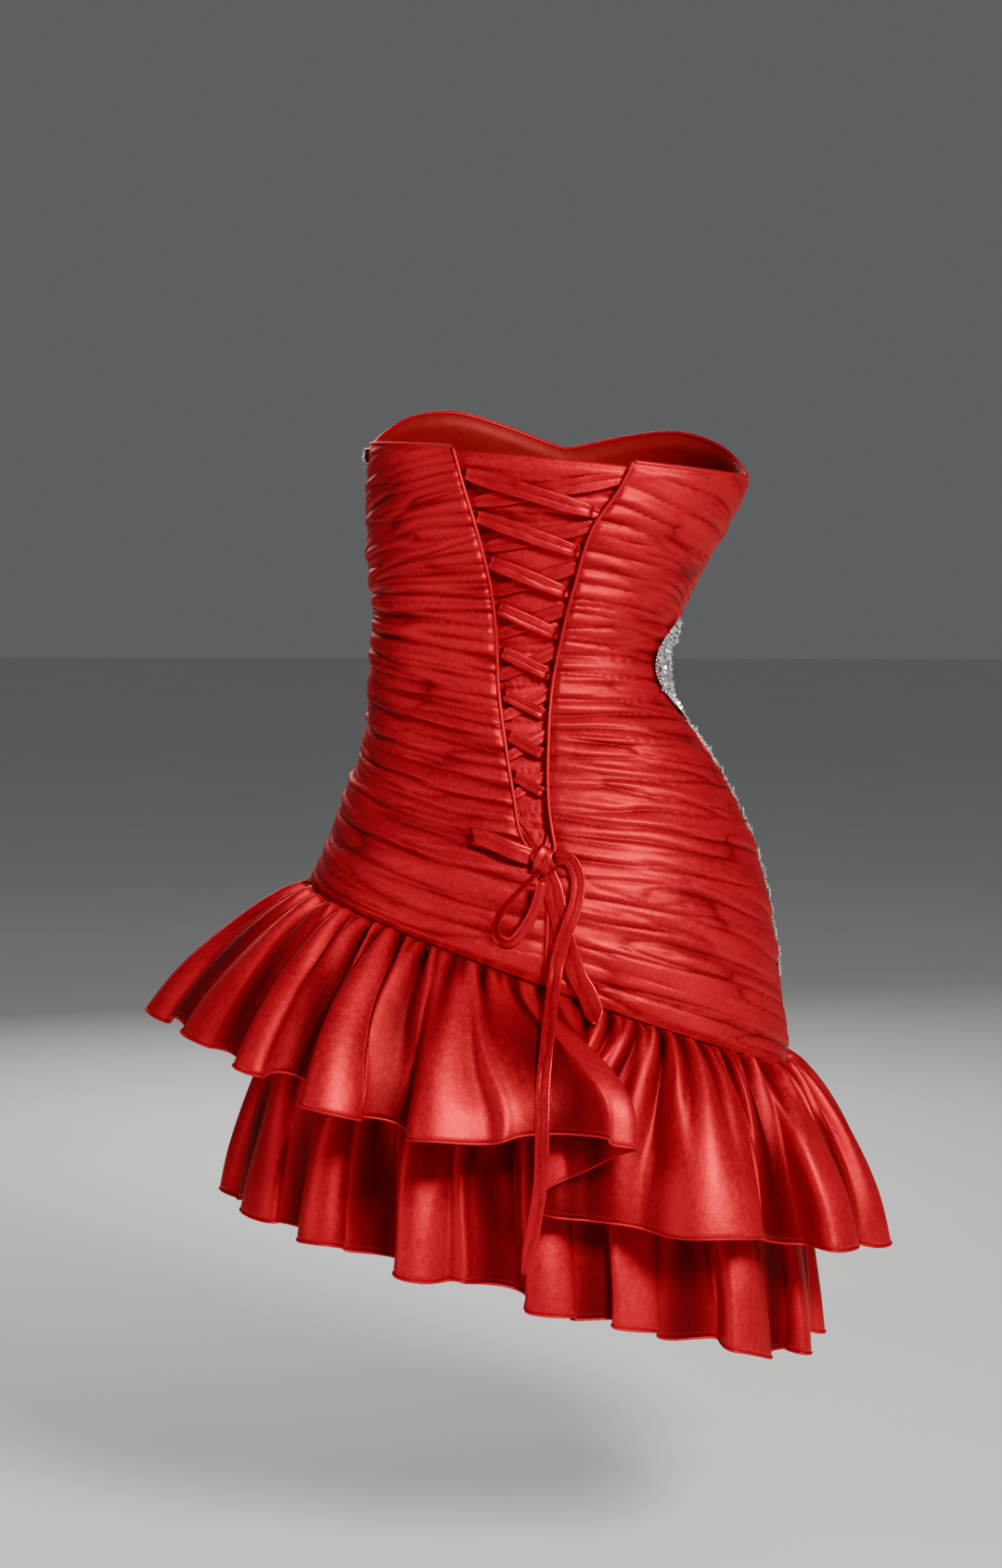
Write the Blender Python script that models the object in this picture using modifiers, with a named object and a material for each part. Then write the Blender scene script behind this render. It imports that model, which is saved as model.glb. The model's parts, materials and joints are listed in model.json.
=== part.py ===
"""Strapless cocktail dress, hollow as it is worn: ruched satin body laced up the back, two gathered ruffle tiers.

The origin is on the body's axis at bust level, where the bodice grips. +Z is up, the front faces -Y and the
wearer's left is +X. Sizes are written in millimetres and turned into metres as each point is placed.
Angles are in degrees round the body, from 0 at the centre front to 90 at the wearer's left and 180 at the back.
"""

import math
from collections import namedtuple

import bmesh
import bpy
from mathutils import Vector

MM = 0.001

# Cloth
SHEATH_WALL = 2.0
RUFFLE_WALL = 1.5
UNDERSKIRT_WALL = 1.2
MODESTY_WALL = 1.2
SEAM_GAP = 0.4

# The worn outline: centre, half width and depths in front of and behind the axis at each height
Section = namedtuple("Section", "height centre half_width front back")
SECTIONS = [
    Section(110, -16, 136, 104, 90),
    Section(60, -15, 138, 106, 92),
    Section(24, -14, 138, 108, 92),
    Section(-28, 0, 125, 100, 86),
    Section(-62, 7, 114, 92, 80),
    Section(-100, 15, 108, 86, 74),
    Section(-131, 14, 110, 87, 77),
    Section(-166, 4, 124, 92, 87),
    Section(-200, 0, 140, 96, 99),
    Section(-235, -1, 155, 98, 111),
    Section(-270, 0, 167, 98, 119),
    Section(-304, 1, 174, 98, 121),
    Section(-340, 0, 178, 97, 119),
    Section(-375, -1, 181, 96, 115),
    Section(-420, -2, 183, 95, 110),
    Section(-520, -2, 184, 95, 107),
]
ROUNDNESS = 0.9

# The cups, cut into the front
CUP_DEPTH = 24
CUP_ANGLE = 37
CUP_SPREAD = 21
CUP_HEIGHT = 12
CUP_DROP = 38

# The neckline: a straight tilted back and a sweetheart front
NECK_BACK_HEIGHT = 44
NECK_TILT = 0.09
Rise = namedtuple("Rise", "height lift")
SWEETHEART = [Rise(0, 14), Rise(18, 27), Rise(36, 33), Rise(56, 25), Rise(75, 9), Rise(90, 0), Rise(180, 0)]

# The tilted seams that carry the two ruffle tiers
UPPER_SEAM_HEIGHT = -335
UPPER_SEAM_TILT = 0.366
LOWER_SEAM_HEIGHT = -418
LOWER_SEAM_TILT = 0.29

# The edges of the back panels that the lacing pulls together, and the centre back seam under them
Placket = namedtuple("Placket", "height left right")
PLACKETS = [
    Placket(55, 58, -81),
    Placket(19, 48, -63),
    Placket(-11, 39, -43),
    Placket(-48, 30, -31),
    Placket(-82, 26, -22),
    Placket(-124, 24, -14),
    Placket(-171, 17, -12),
    Placket(-203, 11, -13),
    Placket(-223, 7, -16),
    Placket(-236, 0, -18),
    Placket(-246, -13, -15),
    Placket(-400, -9, -10),
]

# Ruching: level folds raised on the outside of the body panels
RUCHE_FOLDS = 18
RUCHE_HEIGHT = 3.6
BACK_COLUMNS = 9
EDGE_SHARE = 0.07

# Gathered tiers. A slope is how steeply the cloth falls, from level, at its seam and at its hem, by side.
Tier = namedtuple("Tier", "waves gathers depth sway")
UPPER = Tier(waves=24, gathers=48, depth=18, sway=4.5)
LOWER = Tier(waves=18, gathers=36, depth=15, sway=3.5)
Side = namedtuple("Side", "turn length seam hem")
UPPER_SIDES = [Side(-90, 146, 28, 83), Side(0, 144, 32, 78), Side(90, 142, 8, 56)]
LOWER_SIDES = [Side(-90, 142, 70, 90), Side(0, 142, 62, 86), Side(90, 142, 52, 83)]
COLUMNS_PER_WAVE = 6
SIDE_CALM = 0.13
RUFFLE_ROWS = (0, 0.09, 0.3, 0.54, 0.77, 1)
GATHER_DEPTH = 3.2

# The deep fold of the upper tier beside the centre back, where the hem doubles over itself
FOLD_ANGLE = 190
FOLD_HALF = 9
FOLD_OVERLAP = 104
FOLD_STEP_OUT = 30
FOLD_LIFT = 18
FOLD_RAISE = 20

# Lacing: two ribbons that cross at every span and turn under the panels' edges
LACE_WIDTH = 11.0
LACE_WIDTH_LOW = 6.4
LACE_NECK = 4.0
LACE_SPREAD = 0.34
LACE_THICK = 1.0
LACE_TUCK = 6.0
LACE_TURN = 2.4
LACE_UNDER = -(SHEATH_WALL + 1.8)
LACE_OVER = LACE_UNDER + LACE_THICK + 2.8
LACE_LEVELS = {
    "left": (35, 5, -27, -59, -90, -120, -149, -177, -204),
    "right": (29, -4, -32, -61, -91, -120, -149, -177, -204),
}
LACE_END = {"left": (-6.3, -237), "right": (-11.8, -237)}
LACE_END_WIDTH = 4.6
LACE_END_OUT = 0.4

# Bow and its two free ends: the places that each ribbon's middle passes
Place = namedtuple("Place", "x y z")
KNOT = Place(-10, 118.3, -242)
KNOT_SIZE = (17, 9, 19)
RIBBON_THICK = 1.0
UPPER_LOOP_WIDTH = 12
UPPER_LOOP = [Place(-1.7, 119.6, -240), Place(14, 121, -234), Place(29, 118.5, -228), Place(39, 115, -226)]
LOWER_LOOP_WIDTH = 9
LOWER_LOOP = [
    Place(-6.5, 120.5, -250.6),
    Place(9, 126, -266),
    Place(19, 128, -279),
    Place(22, 129, -290),
    Place(19, 129, -297),
    Place(12, 129, -299),
    Place(3, 129, -290),
    Place(-6, 130, -274),
    Place(-10, 130, -256),
]
SHORT_TAIL_WIDTH = 14
SHORT_TAIL = [
    Place(-12, 118, -251.4),
    Place(-17, 120.5, -262),
    Place(-19, 122, -271),
    Place(-22, 123, -281),
    Place(-24, 123.5, -290),
    Place(-27, 124.5, -300),
    Place(-30, 125, -310),
    Place(-33, 125, -319),
    Place(-36, 125.5, -326),
    Place(-40, 127, -332),
    Place(-43, 129, -338),
    Place(-46, 133, -346),
    Place(-48, 139, -354),
]
LONG_TAIL_WIDTH = 10
LONG_TAIL = [
    Place(-18.4, 118.6, -241),
    Place(-25, 119.5, -240),
    Place(-30, 120.5, -243),
    Place(-34, 122, -251),
    Place(-35, 124, -261),
    Place(-33, 127, -273),
    Place(-29, 129.5, -285),
    Place(-25, 130.5, -297),
    Place(-22, 131, -308),
    Place(-20, 133, -317),
    Place(-19, 138, -326),
    Place(-18, 147, -336),
    Place(-17, 160, -347),
    Place(-16, 172, -360),
    Place(-15, 183, -374),
    Place(-14, 191, -390),
    Place(-14, 198, -410),
    Place(-14, 202, -432),
    Place(-13, 203, -455),
    Place(-10, 201, -475),
    Place(-6, 198, -497),
    Place(-1, 194, -518),
]

# Beaded applique: a band under the front neckline and a spray down the wearer's right side
APPLIQUE_THICK = 2.2
APPLIQUE_LIFT = 0.9
Spray = namedtuple("Spray", "height angle half_width")
SIDE_SPRAY = [
    Spray(-76, -100, 7),
    Spray(-92, -98, 24),
    Spray(-112, -96, 30),
    Spray(-132, -93, 20),
    Spray(-150, -88, 8),
    Spray(-175, -85, 5),
    Spray(-215, -85, 5),
    Spray(-270, -86, 5),
    Spray(-306, -87, 6),
    Spray(-324, -88, 11),
    Spray(-338, -88, 5),
]
NECK_BAND_FROM, NECK_BAND_TO = -62, 97
NECK_BAND_LIFT = 0.2
NECK_BAND_DROP = 5
NECK_BAND_WIDTH = 20

SATIN_RED = (0.55, 0.012, 0.016, 1.0)
UNDER_RED = (0.40, 0.010, 0.014, 1.0)
RIBBON_RED = (0.50, 0.011, 0.015, 1.0)
CRYSTAL = (0.82, 0.83, 0.80, 1.0)


def smooth_between(rows, column, at):
    """One column of a table at a height, on a smooth curve through the rows."""
    rows = sorted(rows)
    keys = [row[0] for row in rows]
    values = [getattr(row, column) for row in rows]
    at = min(max(at, keys[0]), keys[-1])
    i = 0
    while i < len(keys) - 2 and keys[i + 1] < at:
        i += 1

    def slope(k):
        low, high = max(k - 1, 0), min(k + 1, len(keys) - 1)
        return (values[high] - values[low]) / (keys[high] - keys[low])

    span = keys[i + 1] - keys[i]
    t = (at - keys[i]) / span
    return (
        values[i] * (2 * t**3 - 3 * t**2 + 1)
        + values[i + 1] * (3 * t**2 - 2 * t**3)
        + slope(i) * span * (t**3 - 2 * t**2 + t)
        + slope(i + 1) * span * (t**3 - t**2)
    )


def bell(offset, width):
    return math.exp(-((offset / width) ** 2))


def ease(t):
    """0 to 1 with soft ends."""
    t = min(max(t, 0.0), 1.0)
    return t * t * (3 - 2 * t)


def turned(angle):
    """An angle from -180 to 180."""
    return (angle + 180) % 360 - 180


def rounded(value):
    return math.copysign(abs(value) ** ROUNDNESS, value)


def ring(angle, height):
    """The worn outline's x and y at an angle and a height."""
    section = {name: smooth_between(SECTIONS, name, height) for name in Section._fields[1:]}
    side, ahead = math.sin(math.radians(angle)), math.cos(math.radians(angle))
    depth = section["front"] if ahead > 0 else section["back"]
    cup = CUP_DEPTH * bell(abs(turned(angle)) - CUP_ANGLE, CUP_SPREAD) * bell(height - CUP_HEIGHT, CUP_DROP)
    x = section["centre"] + section["half_width"] * rounded(side) + cup * 0.35 * side
    y = -depth * rounded(ahead) - cup * ahead
    return x, y


def outward(angle, height):
    """The level direction straight out of the outline."""
    step = 1.0
    before, after = ring(angle - step, height), ring(angle + step, height)
    along_x, along_y = after[0] - before[0], after[1] - before[1]
    length = math.hypot(along_x, along_y)
    return along_y / length, -along_x / length


def place(angle, height, out=0.0, along=0.0):
    """A point that lies out from the worn outline, or along it towards larger angles, in metres."""
    x, y = ring(angle, height)
    nx, ny = outward(angle, height)
    return Vector((x + out * nx - along * ny, y + out * ny + along * nx, height)) * MM


def back_angle(x, height):
    """The angle on the back at which the outline has this x."""
    share = (x - smooth_between(SECTIONS, "centre", height)) / smooth_between(SECTIONS, "half_width", height)
    share = math.copysign(min(abs(share), 1.0) ** (1 / ROUNDNESS), share)
    return 180 - math.degrees(math.asin(share))


def neckline(angle):
    x = ring(angle, NECK_BACK_HEIGHT)[0]
    lift = smooth_between(SWEETHEART, "lift", abs(turned(angle)))
    return NECK_BACK_HEIGHT + NECK_TILT * x + lift


def tilted_seam(angle, middle, tilt):
    """The height of a tilted seam on the outline, found by going back to the outline twice."""
    height = middle
    for _ in range(3):
        x, y = ring(angle, height)
        height = middle + tilt * x + 0.06 * max(y, 0)
    return height


def upper_seam(angle):
    return tilted_seam(angle, UPPER_SEAM_HEIGHT, UPPER_SEAM_TILT)


def lower_seam(angle):
    return tilted_seam(angle, LOWER_SEAM_HEIGHT, LOWER_SEAM_TILT)


def cloth_material(name, colour, roughness):
    material = bpy.data.materials.new(name)
    material.use_nodes = True
    shader = material.node_tree.nodes["Principled BSDF"]
    shader.inputs["Base Color"].default_value = colour
    shader.inputs["Roughness"].default_value = roughness
    material.diffuse_color = colour
    return material


def cloth(name, surface, columns, rows, thickness, material, inward=True):
    """A wall of cloth: a grid laid on surface(across, down), each from 0 to 1, and thickened to one side."""
    mesh = bpy.data.meshes.new(name)
    shape = bmesh.new()
    bmesh.ops.create_grid(shape, x_segments=columns, y_segments=rows, size=0.5)
    for corner in shape.verts:
        across, down = corner.co.x + 0.5, 0.5 - corner.co.y
        corner.co = surface(across, down)
    shape.to_mesh(mesh)
    shape.free()
    mesh.shade_smooth()
    mesh.materials.append(material)
    obj = bpy.data.objects.new(name, mesh)
    collection.objects.link(obj)
    wall = obj.modifiers.new("Wall", "SOLIDIFY")
    wall.thickness = thickness * MM
    wall.offset = -1 if inward else 1
    return obj


# Body panels


def ruche(across, down, uneven):
    """How far the level folds stand out, from crest to trough, with none at the panel's edges."""
    row = down * RUCHE_FOLDS
    swell = 0.62 + 0.38 * math.sin(2.1 * math.floor(row) + uneven + 3.4 * across)
    edge = ease(min(down, 1 - down) * 14) * ease(min(across, 1 - across) * 9)
    return RUCHE_HEIGHT * swell * edge * (0.5 - 0.5 * math.cos(2 * math.pi * row))


def panel_point(angle, down, out):
    top, bottom = neckline(angle), upper_seam(angle) + SEAM_GAP
    return place(angle, top + (bottom - top) * down, out)


def gap_angle(angle, height):
    """The turn that leaves half a seam gap along the outline."""
    x, y = ring(angle, height)
    return math.degrees(0.5 * SEAM_GAP / math.hypot(x, y))


def front_surface(across, down):
    half_gap = gap_angle(90, 0)
    angle = (90 - half_gap) * (2 * across - 1)
    return panel_point(angle, down, ruche(across, down, 0.7))


def placket_angle(down, side):
    """The angle of a back panel's inner edge at a share of its length. Side is left or right, the wearer's."""
    away = SEAM_GAP / 2 if side == "left" else -SEAM_GAP / 2
    angle = 180
    for _ in range(4):
        top, bottom = neckline(angle), upper_seam(angle)
        height = top + (bottom - top) * down
        x_left, x_right = smooth_between(PLACKETS, "left", height), smooth_between(PLACKETS, "right", height)
        middle = 0.5 * (x_left + x_right)
        x = max(x_left, middle + away) if side == "left" else min(x_right, middle + away)
        angle = back_angle(x, height)
    return angle


def crowded(across):
    """Shares of a back panel's width with one narrow column next to the lacing."""
    first = 1 / BACK_COLUMNS
    if across <= first + 1e-6:
        return across / first * EDGE_SHARE
    return EDGE_SHARE + (across - first) / (1 - first) * (1 - EDGE_SHARE)


def back_left_surface(across, down):
    share = 1 - crowded(1 - across)
    inner, outer = placket_angle(down, "left"), 90 + gap_angle(90, 0)
    return panel_point(outer + (inner - outer) * share, down, ruche(share, down, 2.9))


def back_right_surface(across, down):
    share = crowded(across)
    inner, outer = placket_angle(down, "right"), 270 - gap_angle(270, 0)
    return panel_point(inner + (outer - inner) * share, down, ruche(share, down, 5.2))


MODESTY_MARGIN = 26
MODESTY_SEWN = SHEATH_WALL + 0.8
MODESTY_BEHIND_LACE = SHEATH_WALL + 3.9
MODESTY_DEEP = 8.0
MODESTY_END = 0.80


def modesty_surface(across, down):
    """The panel behind the lacing. Its long edges rise clear of the laces' turns to the insides of the backs."""
    down = 0.008 + (MODESTY_END - 0.008) * down
    left = placket_angle(down, "left")
    right = placket_angle(down, "right")
    radius = smooth_between(SECTIONS, "half_width", NECK_BACK_HEIGHT * (1 - down) + UPPER_SEAM_HEIGHT * down)
    margin = math.degrees(MODESTY_MARGIN / radius)
    column = round(across * 8)
    if column in (0, 1, 2):
        angle, deep = left - margin * (1, 0.55, 0)[column], (MODESTY_SEWN, MODESTY_BEHIND_LACE, MODESTY_DEEP)[column]
    elif column in (6, 7, 8):
        side = 8 - column
        angle, deep = right + margin * (1, 0.55, 0)[side], (MODESTY_SEWN, MODESTY_BEHIND_LACE, MODESTY_DEEP)[side]
    else:
        angle, deep = left + (right - left) * (column - 2) / 4, MODESTY_DEEP
    return panel_point(angle, down, -deep)


# Ruffles


def tier_profile(tier, angle, down):
    """How far the cloth has gone out and fallen at a share of its length, for its slope on this side."""
    sides = UPPER_SIDES if tier is UPPER else LOWER_SIDES
    turn = 90 * math.sin(math.radians(angle))
    first, last, length = (smooth_between(sides, column, turn) for column in ("seam", "hem", "length"))
    steps = 12
    out, fall = 0.0, 0.0
    for i in range(steps):
        share = (i + 0.5) / steps * down
        slope = math.radians(first + (last - first) * share**0.6)
        out += math.cos(slope) * length * down / steps
        fall += math.sin(slope) * length * down / steps
    return out, fall


def tier_wave(tier, angle):
    """The phase of the hem waves: uneven widths, with a level crest or trough at both side seams."""
    turn = math.radians(angle)
    return tier.waves * turn + 0.6 * math.cos(3 * turn) + 0.45 * math.sin(6 * turn) + 0.4 * math.cos(7 * turn)


def centre_back_fold(angle, down):
    """Along, out and up moves of the deep fold, and how far it damps the waves."""
    place_in_fold = turned(angle - FOLD_ANGLE) / FOLD_HALF
    pull = place_in_fold * math.exp(-(place_in_fold**2) / 2) * ease(down * 1.15)
    lift = -FOLD_LIFT * pull + FOLD_RAISE * bell(place_in_fold, 1.6) * down
    return -FOLD_OVERLAP * pull, -FOLD_STEP_OUT * pull, lift, bell(place_in_fold, 2.0)


def tier_point(tier, seam, angle, down, folded):
    height = seam(angle) - SEAM_GAP
    out, fall = tier_profile(tier, angle, down)
    phase = tier_wave(tier, angle)
    turn = math.radians(angle)
    depth = tier.depth * (0.8 + 0.25 * math.sin(5 * turn + 1.1)) * down**0.9
    sway = tier.sway * down**0.8
    gather = GATHER_DEPTH * ease(down * 12) * (1 - ease(down * 1.6)) * math.cos(tier.gathers * turn)
    at_side = 1 - 0.85 * bell(math.cos(turn), SIDE_CALM)
    depth *= at_side
    sway *= at_side
    gather *= at_side
    along, step_out, lift = 0.0, 0.0, 0.0
    if folded:
        along, step_out, lift, calm = centre_back_fold(angle, down)
        depth *= 1 - 0.8 * calm
        sway *= 1 - 0.9 * calm
    x, y = ring(angle, height)
    nx, ny = outward(angle, height)
    out += depth * math.cos(phase) + gather + step_out
    along += sway * math.sin(2 * phase)
    fall -= lift + 0.25 * depth * math.cos(phase)
    return Vector((x + out * nx - along * ny, y + out * ny + along * nx, height - fall)) * MM


def tier_half(name, tier, seam, start, folded, material):
    """Half of a gathered tier, from one side seam to the other."""
    columns = tier.waves * COLUMNS_PER_WAVE // 2
    half_gap = gap_angle(90, UPPER_SEAM_HEIGHT)

    def surface(across, down):
        angle = start + half_gap + (180 - 2 * half_gap) * across
        return tier_point(tier, seam, angle, RUFFLE_ROWS[round(down * (len(RUFFLE_ROWS) - 1))], folded)

    return cloth(name, surface, columns, len(RUFFLE_ROWS) - 1, RUFFLE_WALL, material)


UNDERSKIRT_OVERLAP = 7


def underskirt_half(name, start, material):
    """Half of the plain underskirt, from inside the sheath's lower edge to the lower tier's seam."""
    half_gap = gap_angle(90, UPPER_SEAM_HEIGHT)

    def surface(across, down):
        angle = start + half_gap + (180 - 2 * half_gap) * across
        top, bottom = upper_seam(angle) + UNDERSKIRT_OVERLAP, lower_seam(angle)
        inset = -(SHEATH_WALL + 1.3) * (1 - ease((down - 0.7) / 0.3))
        return place(angle, top + (bottom - top) * down, inset)

    return cloth(name, surface, 20, 4, UNDERSKIRT_WALL, material)


# Lacing


def back_point(x, height, out):
    """A point on the back at this x, and the direction out of it."""
    angle = back_angle(x, height)
    nx, ny = outward(angle, height)
    return place(angle, height, out), Vector((nx, ny, 0))


def ribbon(name, points, normals, widths, material, thickness=LACE_THICK):
    """A flat ribbon along a list of points, lying square to the normals."""

    def surface(across, down):
        i = round(down * (len(points) - 1))
        side = ahead_of(points, i).cross(normals[i]).normalized()
        return points[i] - side * (across - 0.5) * widths[i] * MM

    return cloth(name, surface, 1, len(points) - 1, thickness, material)


def lace_span(start, end, full_width, on_top):
    """Rows of x, height, out and width along one span from tuck to tuck."""
    length = math.hypot(end[0] - start[0], end[1] - start[1])
    ends = [0, 4, LACE_TUCK + 3.8, LACE_TUCK + 6.8]
    count = max(2, math.ceil((length - 2 * ends[-1]) / 18))
    middle = [ends[-1] + (length - 2 * ends[-1]) * k / count for k in range(1, count)]
    rows = []
    for gone in ends + middle + [length - e for e in reversed(ends)]:
        nearest = min(gone, length - gone)
        width = min(full_width, LACE_NECK + LACE_SPREAD * nearest)
        rise = (LACE_OVER - LACE_UNDER) * ease((nearest - LACE_TUCK - 3.8) / 3) if on_top else 0
        t = gone / length
        x, height = start[0] + (end[0] - start[0]) * t, start[1] + (end[1] - start[1]) * t
        rows.append((x, height, LACE_UNDER + rise, width))
    return rows


def lace_end(start, side):
    """Rows of the last short span, from under the panel's edge up to the knot."""
    rows = []
    for t in (0, 0.3, 0.55, 0.8, 1):
        x, height = (a + (b - a) * t for a, b in zip(start, LACE_END[side]))
        out = LACE_UNDER + (LACE_END_OUT - LACE_UNDER) * ease((t - 0.5) * 2)
        rows.append((x, height, out, LACE_NECK + (LACE_END_WIDTH - LACE_NECK) * t))
    return rows


def lace_route(first_side):
    """A ribbon that goes from edge to edge down the back, over the other where it falls to the wearer's right."""
    rows = []
    side = first_side
    tuck = {"left": LACE_TUCK, "right": -LACE_TUCK}
    spans = len(LACE_LEVELS["left"]) - 1
    for i in range(spans):
        other = "right" if side == "left" else "left"
        high, low = LACE_LEVELS[side][i], LACE_LEVELS[other][i + 1]
        start = smooth_between(PLACKETS, side, high) + tuck[side], high - LACE_TURN
        end = smooth_between(PLACKETS, other, low) + tuck[other], low + LACE_TURN
        full_width = LACE_WIDTH + (LACE_WIDTH_LOW - LACE_WIDTH) * i / spans
        rows += lace_span(start, end, full_width, side == "left")
        rows.append((end[0] + 0.35 * tuck[other], low, LACE_UNDER, LACE_NECK))
        side = other
    last = LACE_LEVELS[side][-1]
    start = smooth_between(PLACKETS, side, last) + tuck[side], last - LACE_TURN
    return rows + lace_end(start, side)


def build_lacing(material):
    for name, first_side in (("lace_a", "left"), ("lace_b", "right")):
        rows = lace_route(first_side)
        points, normals = zip(*(back_point(x, height, out) for x, height, out, width in rows))
        ribbon(name, points, normals, [row[3] for row in rows], material)


# Bow


def ahead_of(points, i):
    return points[min(i + 1, len(points) - 1)] - points[max(i - 1, 0)]


def tail(name, places, width, material):
    """A free end of the ribbon, cut to a point."""
    points = [Vector(place) * MM for place in places]
    facing = [Vector((0.12, 1, 0.05)).normalized()] * len(points)
    widths = [width] * (len(points) - 1) + [0.3 * width]
    ribbon(name, points, facing, widths, material, RIBBON_THICK)


def build_knot(material):
    shape = bmesh.new()
    bmesh.ops.create_icosphere(shape, subdivisions=2, radius=0.5)
    for corner in shape.verts:
        corner.co = (Vector(KNOT) + Vector([size * share for size, share in zip(KNOT_SIZE, corner.co)])) * MM
    mesh = bpy.data.meshes.new("bow_knot")
    shape.to_mesh(mesh)
    shape.free()
    mesh.shade_smooth()
    mesh.materials.append(material)
    collection.objects.link(bpy.data.objects.new("bow_knot", mesh))


def build_bow(material):
    """Knot, a flat loop out to the wearer's left, an open loop hanging below it and the two free ends."""
    build_knot(material)

    out = [Vector(place) * MM for place in UPPER_LOOP]
    points = out + [point - Vector((0, 4 * MM, 0)) for point in reversed(out[:-1])]
    across = Vector((0.28, 0, 1)).normalized()
    facing = [ahead_of(points, i).cross(across) for i in range(len(points))]
    ribbon("bow_loop_upper", points, facing, [UPPER_LOOP_WIDTH] * len(points), material, RIBBON_THICK)

    points = [Vector(place) * MM for place in LOWER_LOOP]
    lean = Vector((0.25, 1, 0.2)).normalized()
    facing = [(ahead_of(points, i).cross(lean).normalized() + lean * 0.9).normalized() for i in range(len(points))]
    ribbon("bow_loop_lower", points, facing, [LOWER_LOOP_WIDTH] * len(points), material, RIBBON_THICK)

    tail("lace_tail_short", SHORT_TAIL, SHORT_TAIL_WIDTH, material)
    tail("lace_tail_long", LONG_TAIL, LONG_TAIL_WIDTH, material)


# Applique


def crest(angle):
    """How far the ruching's crests stand out here. They fade at the side seams."""
    from_seam = 90 - abs(turned(angle))
    return RUCHE_HEIGHT * ease(from_seam / 20 if from_seam > 0 else -from_seam / 8)


def side_spray(across, down):
    top, bottom = SIDE_SPRAY[0].height, SIDE_SPRAY[-1].height
    height = top + (bottom - top) * down
    angle = smooth_between(SIDE_SPRAY, "angle", height)
    reach = smooth_between(SIDE_SPRAY, "half_width", height)
    along = reach * (2 * across - 1)
    centre = ring(angle, height)
    turn = math.degrees(along / math.hypot(*centre))
    return place(angle + turn, height, crest(angle + turn) + APPLIQUE_LIFT + APPLIQUE_THICK)


def neck_band(across, down):
    angle = NECK_BAND_FROM + (NECK_BAND_TO - NECK_BAND_FROM) * across
    taper = ease(min(across, 1 - across) * 6)
    width = NECK_BAND_WIDTH * (0.35 + 0.65 * taper) * (1 + 0.18 * math.sin(0.35 * angle))
    height = neckline(angle) - NECK_BAND_DROP - width * down
    return place(angle, height, 0.8 * crest(angle) + NECK_BAND_LIFT + APPLIQUE_THICK)


def build():
    satin = cloth_material("red_satin", SATIN_RED, 0.35)
    under = cloth_material("under_satin", UNDER_RED, 0.45)
    lace = cloth_material("ribbon_satin", RIBBON_RED, 0.35)
    cloth("front_panel", front_surface, 20, 2 * RUCHE_FOLDS, SHEATH_WALL, satin)
    cloth("back_left_panel", back_left_surface, BACK_COLUMNS, 2 * RUCHE_FOLDS, SHEATH_WALL, satin)
    cloth("back_right_panel", back_right_surface, BACK_COLUMNS, 2 * RUCHE_FOLDS, SHEATH_WALL, satin)
    cloth("modesty_panel", modesty_surface, 8, 14, MODESTY_WALL, satin)
    underskirt_half("underskirt_front", -90, under)
    underskirt_half("underskirt_back", 90, under)
    tier_half("upper_ruffle_front", UPPER, upper_seam, -90, False, satin)
    tier_half("upper_ruffle_back", UPPER, upper_seam, 90, True, satin)
    tier_half("lower_ruffle_front", LOWER, lower_seam, -90, False, satin)
    tier_half("lower_ruffle_back", LOWER, lower_seam, 90, False, satin)
    build_lacing(lace)
    build_bow(lace)
    crystal = cloth_material("crystal_pad", CRYSTAL, 0.25)
    cloth("side_applique", side_spray, 8, 22, APPLIQUE_THICK, crystal)
    cloth("neckline_applique", neck_band, 34, 2, APPLIQUE_THICK, crystal)


for old in list(bpy.data.objects):
    bpy.data.objects.remove(old)
collection = bpy.data.collections.new("cocktail_dress")
bpy.context.scene.collection.children.link(collection)
build()
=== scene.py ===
import json
import math

import bmesh
import bpy
import numpy as np
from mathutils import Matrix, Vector

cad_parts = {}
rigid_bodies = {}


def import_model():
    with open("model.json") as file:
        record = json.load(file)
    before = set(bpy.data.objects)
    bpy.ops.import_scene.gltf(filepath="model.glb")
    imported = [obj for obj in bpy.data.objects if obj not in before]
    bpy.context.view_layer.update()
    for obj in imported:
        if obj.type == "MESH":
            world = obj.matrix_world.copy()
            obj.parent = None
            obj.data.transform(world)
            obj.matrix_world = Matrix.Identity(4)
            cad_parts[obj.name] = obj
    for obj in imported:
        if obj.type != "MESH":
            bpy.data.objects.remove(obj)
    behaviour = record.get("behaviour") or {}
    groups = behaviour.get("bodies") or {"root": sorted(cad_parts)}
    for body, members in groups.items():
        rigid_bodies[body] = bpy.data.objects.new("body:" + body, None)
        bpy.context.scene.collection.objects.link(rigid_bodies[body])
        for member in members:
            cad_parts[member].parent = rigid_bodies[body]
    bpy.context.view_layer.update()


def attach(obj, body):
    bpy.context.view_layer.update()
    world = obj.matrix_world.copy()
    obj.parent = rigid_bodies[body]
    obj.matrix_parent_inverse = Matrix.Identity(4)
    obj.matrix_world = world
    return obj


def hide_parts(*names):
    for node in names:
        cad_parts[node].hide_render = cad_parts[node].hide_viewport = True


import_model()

mm = 0.001

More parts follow.
